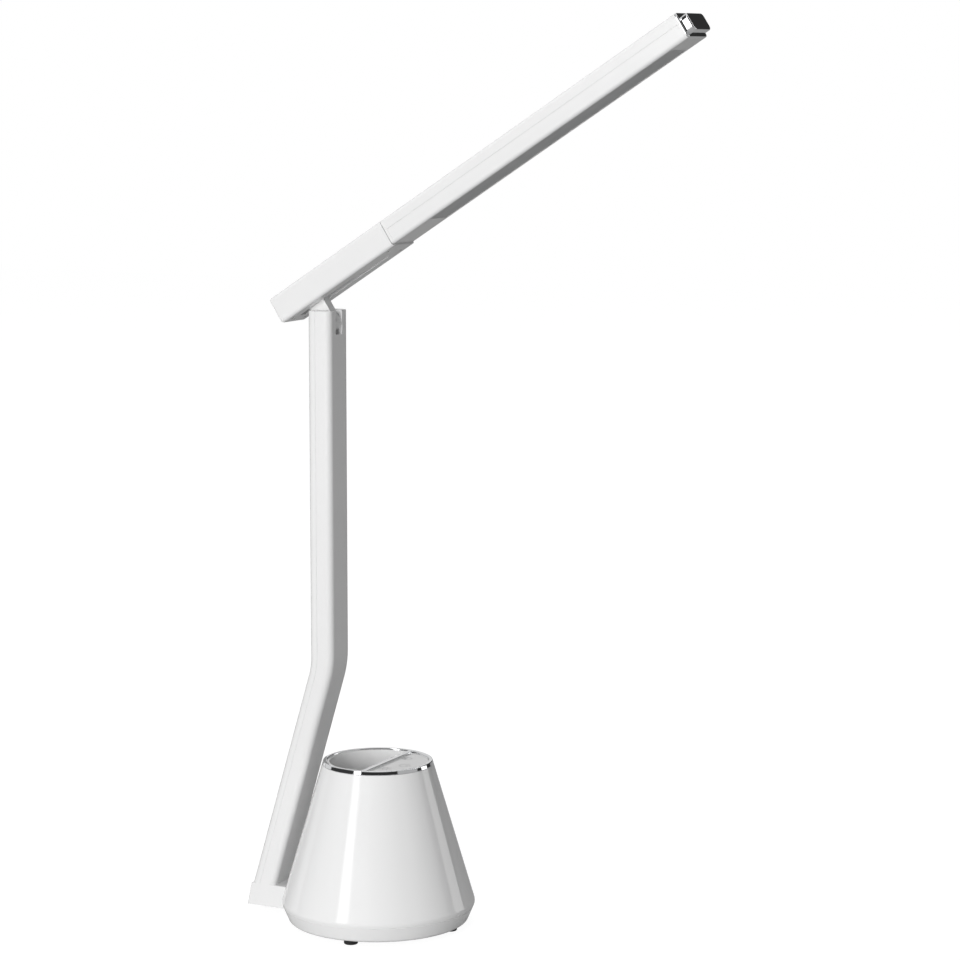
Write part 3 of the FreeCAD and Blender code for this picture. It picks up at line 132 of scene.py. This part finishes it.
def bump(tree, shader, height, distance, strength=1.0, below=None):
    node = add(tree, "ShaderNodeBump")
    node.inputs["Strength"].default_value = strength
    node.inputs["Distance"].default_value = distance
    tree.links.new(height, node.inputs["Height"])
    if below is not None:
        tree.links.new(below, node.inputs["Normal"])
    tree.links.new(node.outputs["Normal"], shader.inputs["Normal"])
    return node.outputs["Normal"]


def two_tone(tree, shader, factor, first, second, start=0.3, end=0.7):
    """Base colour that runs from the first to the second as the factor goes from start to end."""
    base = ramp(tree, factor, ((start, first), (end, second)))
    tree.links.new(base, shader.inputs["Base Color"])


def uneven_gloss(tree, shader, factor, smooth, dull, low=0.3, high=0.7):
    """Roughness that varies with the factor."""
    rough = number_range(tree, factor, smooth, dull, low, high)
    tree.links.new(rough, shader.inputs["Roughness"])


def scaled(colour, share):
    return tuple(c * share for c in colour)


# Finishes

smudge_shares = (0.8, 1.35)
line_shares = (0.7, 1.4)


def plastic(name, colour, roughness, ripple, grain, tint=0.985):
    """Moulded plastic: soft mottling, handling smudges, a faint moulding ripple and fine grain."""
    material, tree, shader = new_material(name)
    coords = object_coords(tree)
    cloud = noise(tree, coords, scale=14.0, detail=3.0)
    two_tone(tree, shader, cloud, scaled(colour, tint), colour)
    smudge = noise(tree, coords, scale=55.0, detail=4.0, roughness=0.6)
    smooth, dull = (roughness * share for share in smudge_shares)
    uneven_gloss(tree, shader, smudge, smooth, dull, high=0.75)
    waves = noise(tree, coords, scale=160.0, detail=1.0)
    grit = noise(tree, coords, scale=2600.0, detail=2.0)
    bump(tree, shader, grit, grain, below=bump(tree, shader, waves, ripple))
    return material


def metal(name, colour, roughness, scratch=1.5 * micron, wear=0.9, brushed=(1.0, 1.0, 1.0)):
    """Metal with fine lines along one axis and cloudy wear."""
    material, tree, shader = new_material(name)
    cloud = noise(tree, object_coords(tree), scale=60.0, detail=4.0, roughness=0.6)
    two_tone(tree, shader, cloud, scaled(colour, wear), colour, end=0.65)
    lines = noise(tree, object_coords(tree, brushed), scale=900.0, detail=4.0, roughness=0.7)
    smooth, dull = (roughness * share for share in line_shares)
    uneven_gloss(tree, shader, lines, smooth, dull, low=0.25, high=0.75)
    shader.inputs["Metallic"].default_value = 1.0
    bump(tree, shader, lines, scratch)
    return material


def opal_sheet(name, depth=2.0 * mm, milkiness=0.25):
    """Opal sheet: milky, slightly see-through, with a fine pebbled face."""
    material, tree, shader = new_material(name)
    coords = object_coords(tree)
    cloud = noise(tree, coords, scale=30.0, detail=2.0)
    two_tone(tree, shader, cloud, (0.47, 0.475, 0.48), (0.51, 0.515, 0.52))
    shader.inputs["Subsurface Weight"].default_value = milkiness
    shader.inputs["Subsurface Radius"].default_value = (depth, depth, depth)
    shader.inputs["Subsurface Scale"].default_value = 1.0
    uneven_gloss(tree, shader, noise(tree, coords, scale=90.0, detail=3.0), 0.30, 0.42)
    pebbles = cells(tree, coords, scale=1100.0, feature="SMOOTH_F1")
    bump(tree, shader, pebbles, distance=20.0 * micron, strength=0.5)
    return material


def rubber(name):
    """Dusty moulded rubber."""
    material, tree, shader = new_material(name)
    coords = object_coords(tree)
    dust = noise(tree, coords, scale=220.0, detail=5.0, roughness=0.65)
    two_tone(tree, shader, dust, (0.012, 0.012, 0.013), (0.035, 0.034, 0.033), start=0.35, end=0.8)
    uneven_gloss(tree, shader, dust, 0.50, 0.75, high=0.8)
    grit = noise(tree, coords, scale=1800.0, detail=3.0)
    bump(tree, shader, grit, distance=20.0 * micron, strength=0.6)
    return material


def circuit_board(name, mask, copper, edge_share=0.8):
    """Circuit board: solder mask over faint tracks, with bare pads."""
    material, tree, shader = new_material(name)
    coords = object_coords(tree)
    tracks = cells(tree, coords, scale=230.0, feature="DISTANCE_TO_EDGE", distance="CHEBYCHEV")
    base = ramp(tree, tracks, ((0.05, copper), (0.09, scaled(mask, edge_share)), (0.5, mask)))
    tree.links.new(base, shader.inputs["Base Color"])
    uneven_gloss(tree, shader, noise(tree, coords, scale=120.0, detail=3.0), 0.28, 0.42)
    bump(tree, shader, tracks, distance=40.0 * micron, strength=0.6)
    return material


def painted_casting(name):
    """Cast iron weight under dull paint."""
    material, tree, shader = new_material(name)
    pits = noise(tree, object_coords(tree), scale=420.0, detail=6.0, roughness=0.7)
    two_tone(tree, shader, pits, (0.05, 0.05, 0.052), (0.11, 0.11, 0.112))
    uneven_gloss(tree, shader, pits, 0.55, 0.8)
    bump(tree, shader, pits, distance=200.0 * micron, strength=0.7)
    return material


def phosphor(name):
    """LED packages with a yellow phosphor face."""
    material, tree, shader = new_material(name)
    cloud = noise(tree, object_coords(tree), scale=500.0, detail=3.0)
    two_tone(tree, shader, cloud, (0.82, 0.68, 0.16), (0.90, 0.77, 0.24))
    uneven_gloss(tree, shader, cloud, 0.35, 0.5)
    bump(tree, shader, cloud, distance=10.0 * micron, strength=0.5)
    return material


def foam(name):
    """Soft conductive foam pads."""
    material, tree, shader = new_material(name)
    pores = cells(tree, object_coords(tree), scale=1500.0)
    two_tone(tree, shader, pores, (0.03, 0.03, 0.03), (0.10, 0.10, 0.10), start=0.1, end=0.6)
    uneven_gloss(tree, shader, pores, 0.95, 0.75, low=0.0)
    bump(tree, shader, pores, distance=200.0 * micron, strength=0.8)
    return material


# Finishes by the record's slot names
white = (0.84, 0.84, 0.84)
panel_share = 0.98
finishes = {
    "white_gloss": plastic("gloss_white_shell", white, 0.08,
                           ripple=2.0 * micron, grain=0.4 * micron),
    "white_panel": plastic("gloss_white_panel", scaled(white, panel_share), 0.09,
                           ripple=1.0 * micron, grain=0.4 * micron),
    "chrome_trim": metal("polished_chrome", (0.86, 0.87, 0.88), 0.045,
                         scratch=0.4 * micron, wear=0.97),
    "opal_diffuser": opal_sheet("opal_sheet"),
    "dark_rubber": rubber("moulded_rubber"),
    "cast_weight": painted_casting("painted_casting"),
    "steel": metal("zinc_plated_steel", (0.62, 0.62, 0.60), 0.26,
                   scratch=4.0 * micron, brushed=(1.0, 1.0, 0.15)),
    "nickel_nut": metal("nickel_plate", (0.70, 0.67, 0.62), 0.18),
    "black_plastic": plastic("moulded_black", (0.018, 0.018, 0.019), 0.34,
                             ripple=10.0 * micron, grain=6.0 * micron, tint=0.8),
    "grey_nylon": plastic("natural_nylon", (0.62, 0.61, 0.57), 0.42,
                          ripple=10.0 * micron, grain=10.0 * micron, tint=0.93),
    "board_green": circuit_board("green_solder_mask", (0.012, 0.13, 0.045), (0.05, 0.24, 0.09)),
    "board_white": circuit_board("white_solder_mask", (0.78, 0.78, 0.76), (0.66, 0.66, 0.63)),
    "led_yellow": phosphor("phosphor"),
    "aluminium_bar": metal("extruded_aluminium", (0.74, 0.75, 0.76), 0.24,
                           scratch=6.0 * micron, brushed=(0.06, 1.0, 1.0)),
    "grey_insulation": plastic("wire_insulation", (0.22, 0.22, 0.23), 0.45,
                               ripple=20.0 * micron, grain=8.0 * micron, tint=0.85),
    "soft_pads": foam("foam_pads"),
}


def dress_nodes():
    for node in nodes.values():
        for slot in node.material_slots:
            slot.material = finishes[slot.material.name.split(".")[0]]


# Mesh helpers

def new_piece(name, mesh_data, body, finish):
    mesh = bpy.data.meshes.new(name)
    mesh_data.to_mesh(mesh)
    mesh_data.free()
    piece = bpy.data.objects.new(name, mesh)
    bpy.context.scene.collection.objects.link(piece)
    mesh.materials.append(finish)
    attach(piece, body)
    return piece


def head_point(x, y, z):
    """A point given along, across and up the head, in millimetres from the pivot."""
    turn = Matrix.Rotation(-head_tilt, 3, "Y")
    return pivot + turn @ (Vector((x, y, z)) * mm)


# Printed marks on the touch panel, in millimetres: a broken ring with a bar, a small sun, and a
# half-filled ring

panel_top = 124.6
mark_sink = 0.01
mark_rise = 0.02
mark_line = 0.8
mark_steps = 40
mark_weld = 0.001
full_turn_deg = 360.0
power_place = (25.0, -4.5)
power_radius = 3.8
power_gap_deg = 64.0
power_bar_rear = 0.6
power_bar_front = 5.0
sun_place = (16.6, -19.7)
sun_radius = 2.2
sun_ray_start = 3.2
sun_ray_end = 4.6
sun_ray_count = 8
shade_place = (15.7, 16.8)
shade_radius = 3.6
shade_start_deg = 90.0
shade_end_deg = 270.0


def arc(place, radius, start_deg, end_deg):
    """Points along an arc, in degrees from +X, that takes in both its ends."""
    angles = [math.radians(start_deg + (end_deg - start_deg) * i / mark_steps)
              for i in range(mark_steps + 1)]
    return [(place[0] + radius * math.cos(a), place[1] + radius * math.sin(a)) for a in angles]


def bar(place, start, end, angle_deg):
    """Two sides of a straight line that points away from a place."""
    a = math.radians(angle_deg)
    along, across = (math.cos(a), math.sin(a)), (-math.sin(a), math.cos(a))
    sides = []
    for side in (-mark_line / 2, mark_line / 2):
        sides.append([(place[0] + along[0] * reach + across[0] * side,
                       place[1] + along[1] * reach + across[1] * side) for reach in (start, end)])
    return sides


def print_band(data, left, right):
    """Thin raised band between two runs of points, on the panel's top."""
    low, high = panel_top - mark_sink, panel_top + mark_rise
    rows = [[data.verts.new((x * mm, y * mm, z * mm)) for x, y in run]
            for run in (left, right) for z in (low, high)]
    left_low, left_high, right_low, right_high = rows
    for i in range(len(left) - 1):
        j = i + 1
        data.faces.new((left_high[i], left_high[j], right_high[j], right_high[i]))
        data.faces.new((left_low[i], right_low[i], right_low[j], left_low[j]))
        data.faces.new((left_low[i], left_low[j], left_high[j], left_high[i]))
        data.faces.new((right_low[i], right_high[i], right_high[j], right_low[j]))
    closed = math.dist(left[0], left[-1]) + math.dist(right[0], right[-1]) < mark_sink
    if not closed:
        for i in (0, len(left) - 1):
            data.faces.new((left_low[i], left_high[i], right_high[i], right_low[i]))


def print_arc(data, place, radius, start_deg, end_deg):
    print_band(data, arc(place, radius - mark_line / 2, start_deg, end_deg),
               arc(place, radius + mark_line / 2, start_deg, end_deg))


def power_mark(data):
    half_gap = power_gap_deg / 2
    print_arc(data, power_place, power_radius, half_gap, full_turn_deg - half_gap)
    print_band(data, *bar(power_place, power_bar_rear, power_bar_front, 0.0))


def brightness_mark(data):
    print_arc(data, sun_place, sun_radius, 0.0, full_turn_deg)
    for i in range(sun_ray_count):
        angle_deg = i * full_turn_deg / sun_ray_count
        print_band(data, *bar(sun_place, sun_ray_start, sun_ray_end, angle_deg))


def colour_mark(data):
    print_arc(data, shade_place, shade_radius, 0.0, full_turn_deg)
    print_band(data, arc(shade_place, 0.0, shade_start_deg, shade_end_deg),
               arc(shade_place, shade_radius - mark_line, shade_start_deg, shade_end_deg))


def make_touch_marks():
    ink = plastic("printed_grey", (0.36, 0.365, 0.37), 0.3, ripple=1.0 * micron, grain=0.4 * micron)
    marks = {"mark_power": power_mark, "mark_brightness": brightness_mark,
             "mark_colour": colour_mark}
    for name, draw in marks.items():
        data = bmesh.new()
        draw(data)
        bmesh.ops.remove_doubles(data, verts=data.verts, dist=mark_weld * mm)
        bmesh.ops.recalc_face_normals(data, faces=data.faces)
        new_piece(name, data, "base_and_stem", ink)


# Screws with cross recesses, in millimetres, in place of the plain ones under the base and head

screw_steps = 40
sharp_angle = math.radians(32.0)
first_turn_deg = 12.0
next_turn_deg = 37.0

# Shares of the head's radius, head's height or shank's radius
head_flat_share = 0.66
head_shoulder_share = 0.88
shoulder_height_share = 0.84
head_rim_share = 0.46
shank_tip_share = 0.3
recess_half_width_share = 0.11
recess_reach_share = 0.56
recess_floor_share = 0.35
recess_taper_share = 0.8

base_screw_circle = 60.0
base_screw_count = 4
base_screw_phase_deg = 52.0
base_shank_radius = 1.4
base_head_radius = 2.6
base_head_height = 1.8
tongue_half_span = 6.0
tongue_head_height = 1.2
cover_screw_rows = (-21.0, 74.0)
cover_half_span = 9.2
cover_seat = 18.05
cover_shank_radius = 0.8
cover_screw_length = 7.1
cover_head_radius = 1.3
cover_head_height = 0.9


def spun(profile):
    """Solid of revolution about Z from (radius, z) points that begin and end on the axis."""
    data = bmesh.new()
    rings = []
    for radius, z in profile:
        count = screw_steps if radius > 0 else 1
        turns = [math.tau * i / screw_steps for i in range(count)]
        rings.append([data.verts.new((radius * math.cos(a), radius * math.sin(a), z))
                      for a in turns])
    for upper, lower in zip(rings, rings[1:]):
        for i in range(screw_steps):
            j = i + 1
            corners = [upper[i % len(upper)], upper[j % len(upper)],
                       lower[j % len(lower)], lower[i % len(lower)]]
            data.faces.new(list(dict.fromkeys(corners)))
    bmesh.ops.recalc_face_normals(data, faces=data.faces)
    return data


def cross_cutter(half_width, reach, top, floor):
    """Cross-shaped plug that narrows towards its floor."""
    w, r = half_width, reach
    corners = [(r, -w), (r, w), (w, w), (w, r), (-w, r), (-w, w),
               (-r, w), (-r, -w), (-w, -w), (-w, -r), (w, -r), (w, -w)]
    data = bmesh.new()
    high = [data.verts.new((x, y, top)) for x, y in corners]
    low = [data.verts.new((x * recess_taper_share, y * recess_taper_share, floor))
           for x, y in corners]
    data.faces.new(high)
    data.faces.new(low[::-1])
    for i in range(len(corners)):
        j = (i + 1) % len(corners)
        data.faces.new((high[j], high[i], low[i], low[j]))
    bmesh.ops.recalc_face_normals(data, faces=data.faces)
    return data


def carved(solid, cutter):
    """The solid's mesh with the cutter's shape taken out of it."""
    objects = []
    for name, data in (("carved", solid), ("cutter", cutter)):
        mesh = bpy.data.meshes.new(name)
        data.to_mesh(mesh)
        data.free()
        objects.append(bpy.data.objects.new(name, mesh))
        bpy.context.scene.collection.objects.link(objects[-1])
    modifier = objects[0].modifiers.new("carve", "BOOLEAN")
    modifier.operation = "DIFFERENCE"
    modifier.solver = "EXACT"
    modifier.object = objects[1]
    bpy.context.view_layer.update()
    shown = objects[0].evaluated_get(bpy.context.evaluated_depsgraph_get())
    result = bpy.data.meshes.new_from_object(shown)
    for item in objects:
        bpy.data.objects.remove(item)
    return result


def cross_screw(shank_radius, length, head_radius, head_height):
    """Screw whose head stands up from z = 0 and whose shank goes down from it."""
    shank_end = shank_radius - length
    profile = [(0, head_height), (head_flat_share * head_radius, head_height),
               (head_shoulder_share * head_radius, shoulder_height_share * head_height),
               (head_radius, head_rim_share * head_height), (head_radius, 0), (shank_radius, 0),
               (shank_radius, shank_end), (shank_tip_share * shank_radius, -length), (0, -length)]
    cutter = cross_cutter(recess_half_width_share * head_radius, recess_reach_share * head_radius,
                          head_height * 2, recess_floor_share * head_height)
    return carved(spun(profile), cutter)


def make_screws(name, node, body, places, outward, sizes):
    """Screws whose heads stand at places and face outward, each turned a little differently."""
    base = cross_screw(*sizes)
    data = bmesh.new()
    facing = Vector(outward).to_track_quat("Z", "Y").to_matrix().to_4x4()
    for i, place in enumerate(places):
        turn = Matrix.Rotation(math.radians(next_turn_deg * i + first_turn_deg), 4, "Z")
        copy = base.copy()
        copy.transform(Matrix.Translation(place) @ facing @ turn @ Matrix.Scale(mm, 4))
        data.from_mesh(copy)
    for face in data.faces:
        face.smooth = True
    for edge in data.edges:
        edge.smooth = len(edge.link_faces) == 2 and edge.calc_face_angle() < sharp_angle
    piece = new_piece(name, data, body, finishes["steel"])
    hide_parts(node)


def make_low_screws(name, node, places, head_height):
    """Screws under the base, at (x, y) places, that fill their node's height."""
    low, high = (Vector(corner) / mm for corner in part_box(node))
    points = [Vector((x, y, low.z + head_height)) * mm for x, y in places]
    make_screws(name, node, "base_and_stem", points, (0, 0, -1),
                (base_shank_radius, high.z - low.z - head_height, base_head_radius, head_height))


def make_all_screws():
    angles = [math.radians(base_screw_phase_deg + full_turn_deg * i / base_screw_count)
              for i in range(base_screw_count)]
    places = [(base_screw_circle * math.cos(a), base_screw_circle * math.sin(a)) for a in angles]
    make_low_screws("base_cross_screws", "base_screws", places, base_head_height)
    low, high = (Vector(corner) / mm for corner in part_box("bracket_tongue_screws"))
    x = (low.x + high.x) / 2
    places = [(x, side * tongue_half_span) for side in (-1, 1)]
    make_low_screws("tongue_cross_screws", "bracket_tongue_screws", places, tongue_head_height)
    places = [head_point(x, side * cover_half_span, cover_seat)
              for x in cover_screw_rows for side in (-1, 1)]
    outward = (math.sin(head_tilt), 0, -math.cos(head_tilt))
    make_screws("cover_cross_screws", "rear_cover_screws", "rear_head", places, outward,
                (cover_shank_radius, cover_screw_length, cover_head_radius, cover_head_height))


# Studio

ambient_level = 0.30
sky_level = 0.85
sky_start = 0.80
sky_full = 0.92
floor_half = 6.0
floor_white = 0.82
floor_bounce = 0.40
floor_near_bounce = 0.56
floor_near = 0.10
floor_far = 0.20
floor_roughness = 0.9
floor_glow = 1.18
floor_glow_share = 0.80
floor_glossy_share = 0.10

# What glossy surfaces see round the horizon: (from this many degrees, level)
dark_level = 0.03
room = (
    (-180.0, dark_level),
    (-164.0, 0.70),
    (-84.7, 0.04),
    (-22.5, 4.0),
    (-8.5, dark_level),
    (70.3, 0.45),
    (118.0, dark_level),
    (131.0, 1.9),
    (147.0, dark_level),
    (179.0, dark_level),
)
room_edge_deg = 0.8


def direction(tree):
    """Angle round the world from the camera's side, 0 at -Y and a quarter at +X, and the rise."""
    coords = add(tree, "ShaderNodeTexCoord")
    parts = add(tree, "ShaderNodeSeparateXYZ")
    tree.links.new(coords.outputs["Generated"], parts.inputs["Vector"])
    back = add(tree, "ShaderNodeMath", operation="MULTIPLY")
    back.inputs[1].default_value = -1.0
    tree.links.new(parts.outputs["Y"], back.inputs[0])
    angle = add(tree, "ShaderNodeMath", operation="ARCTAN2")
    tree.links.new(parts.outputs["X"], angle.inputs[0])
    tree.links.new(back.outputs["Value"], angle.inputs[1])
    return angle.outputs["Value"], parts.outputs["Z"]


def room_levels(tree, angle):
    """The levels round the horizon, each with a narrow soft edge."""
    place = number_range(tree, angle, 0.0, 1.0, low=-math.pi, high=math.pi)
    half = room_edge_deg / full_turn_deg
    stops = []
    last = room[-1][1]
    for degrees, level in room:
        middle = degrees / full_turn_deg + 1 / 2
        if middle > half:
            stops.append((middle - half, (last, last, last)))
        stops.append((min(middle + half, 1.0), (level, level, level)))
        last = level
    return ramp(tree, place, stops)


def any_of(tree, first, second):
    node = add(tree, "ShaderNodeMath", operation="MAXIMUM")
    tree.links.new(first, node.inputs[0])
    tree.links.new(second, node.inputs[1])
    return node.outputs["Value"]


def mixed(tree, factor, a, b):
    """Mix of two greys or colours by a factor."""
    node = add(tree, "ShaderNodeMix", data_type="RGBA")
    tree.links.new(factor, node.inputs["Factor"])
    colours = [socket for socket in node.inputs if socket.type == "RGBA"]
    for value, socket in zip((a, b), colours):
        if isinstance(value, float):
            socket.default_value = (value, value, value, 1.0)
        else:
            tree.links.new(value, socket)
    return next(socket for socket in node.outputs if socket.type == "RGBA")


def make_world():
    world = bpy.data.worlds.new("studio")
    bpy.context.scene.world = world
    world.use_nodes = True
    tree = world.node_tree
    background = next(n for n in tree.nodes if n.type == "BACKGROUND")
    paths = add(tree, "ShaderNodeLightPath")
    angle, rise = direction(tree)
    high = number_range(tree, rise, 0.0, 1.0, low=sky_start, high=sky_full)
    reflected = mixed(tree, high, room_levels(tree, angle), sky_level)
    light = mixed(tree, paths.outputs["Is Glossy Ray"], ambient_level, reflected)
    shown = any_of(tree, paths.outputs["Is Camera Ray"], paths.outputs["Is Transmission Ray"])
    tree.links.new(mixed(tree, shown, light, 1.0), background.inputs["Color"])
    background.inputs["Strength"].default_value = 1.0


def floor_finish():
    """White floor: plain to the camera, and darker as a source of bounced light."""
    material, tree, shader = new_material("floor_white")
    shader.inputs["Roughness"].default_value = floor_roughness
    shader.inputs["Specular IOR Level"].default_value = 0.0
    paths = add(tree, "ShaderNodeLightPath")
    shown = any_of(tree, paths.outputs["Is Camera Ray"], paths.outputs["Is Transmission Ray"])
    glossy = paths.outputs["Is Glossy Ray"]
    coords = add(tree, "ShaderNodeTexCoord")
    length = add(tree, "ShaderNodeVectorMath", operation="LENGTH")
    tree.links.new(coords.outputs["Object"], length.inputs[0])
    away = number_range(tree, length.outputs["Value"], 0.0, 1.0, low=floor_near, high=floor_far)
    bounce = mixed(tree, away, floor_near_bounce, floor_bounce)
    base = mixed(tree, glossy, mixed(tree, shown, bounce, floor_white), bounce)
    tree.links.new(base, shader.inputs["Base Color"])
    glow = add(tree, "ShaderNodeEmission")
    glow.inputs["Strength"].default_value = floor_glow
    share = mixed(tree, glossy, mixed(tree, shown, 0.0, floor_glow_share), floor_glossy_share)
    mix = add(tree, "ShaderNodeMixShader")
    tree.links.new(share, mix.inputs["Fac"])
    tree.links.new(shader.outputs["BSDF"], mix.inputs[1])
    tree.links.new(glow.outputs["Emission"], mix.inputs[2])
    output = next(n for n in tree.nodes if n.type == "OUTPUT_MATERIAL")
    tree.links.new(mix.outputs["Shader"], output.inputs["Surface"])
    return material


def make_floor():
    data = bmesh.new()
    corners = [data.verts.new((x * floor_half, y * floor_half, 0.0)) for x, y in
               ((-1, -1), (1, -1), (1, 1), (-1, 1))]
    data.faces.new(corners)
    mesh = bpy.data.meshes.new("floor")
    data.to_mesh(mesh)
    data.free()
    floor = bpy.data.objects.new("floor", mesh)
    bpy.context.scene.collection.objects.link(floor)
    mesh.materials.append(floor_finish())


def away_from(azimuth, elevation):
    """Unit direction: azimuth 0 is -Y and a quarter turn is +X."""
    return Vector((math.sin(azimuth) * math.cos(elevation),
                   -math.cos(azimuth) * math.cos(elevation), math.sin(elevation)))


def add_lamp(name, azimuth_deg, elevation_deg, distance, width, level, target_height):
    """Square soft box. A white face square to it renders at its level."""
    light = bpy.data.lights.new(name, "AREA")
    light.shape = "RECTANGLE"
    light.size = width
    light.size_y = width
    light.energy = level * math.pi ** 2 * distance ** 2
    lamp = bpy.data.objects.new(name, light)
    bpy.context.scene.collection.objects.link(lamp)
    out = away_from(math.radians(azimuth_deg), math.radians(elevation_deg))
    lamp.location = Vector((0.0, 0.0, target_height)) + out * distance
    lamp.rotation_mode = "QUATERNION"
    lamp.rotation_quaternion = (-out).to_track_quat("-Z", "Y")
    lamp.visible_glossy = False


def make_lamps():
    add_lamp("key", azimuth_deg=4.5, elevation_deg=6.0, distance=4.0, width=1.6, level=0.75,
             target_height=0.50)
    add_lamp("top", azimuth_deg=-75.0, elevation_deg=84.0, distance=4.0, width=2.2, level=0.34,
             target_height=0.35)


def make_camera():
    azimuth = math.radians(camera_azimuth_deg)
    aim = azimuth + math.radians(camera_yaw_deg)
    forward = -away_from(aim, -math.radians(camera_pitch_deg))
    right = Vector((math.cos(aim), math.sin(aim), 0.0))
    up = right.cross(forward)
    data = bpy.data.cameras.new("camera")
    data.sensor_width = camera_sensor_mm
    data.lens = camera_lens_mm
    data.clip_start = clip_near
    data.clip_end = clip_far
    camera = bpy.data.objects.new("camera", data)
    bpy.context.scene.collection.objects.link(camera)
    place = away_from(azimuth, 0.0) * camera_distance
    place.z = camera_height
    turn = Matrix((right, up, -forward)).transposed().to_4x4()
    camera.matrix_world = Matrix.Translation(place) @ turn
    bpy.context.scene.camera = camera


dress_nodes()
make_touch_marks()
make_all_screws()
make_world()
make_floor()
make_lamps()
make_camera()
bpy.context.scene.view_settings.view_transform = "Standard"
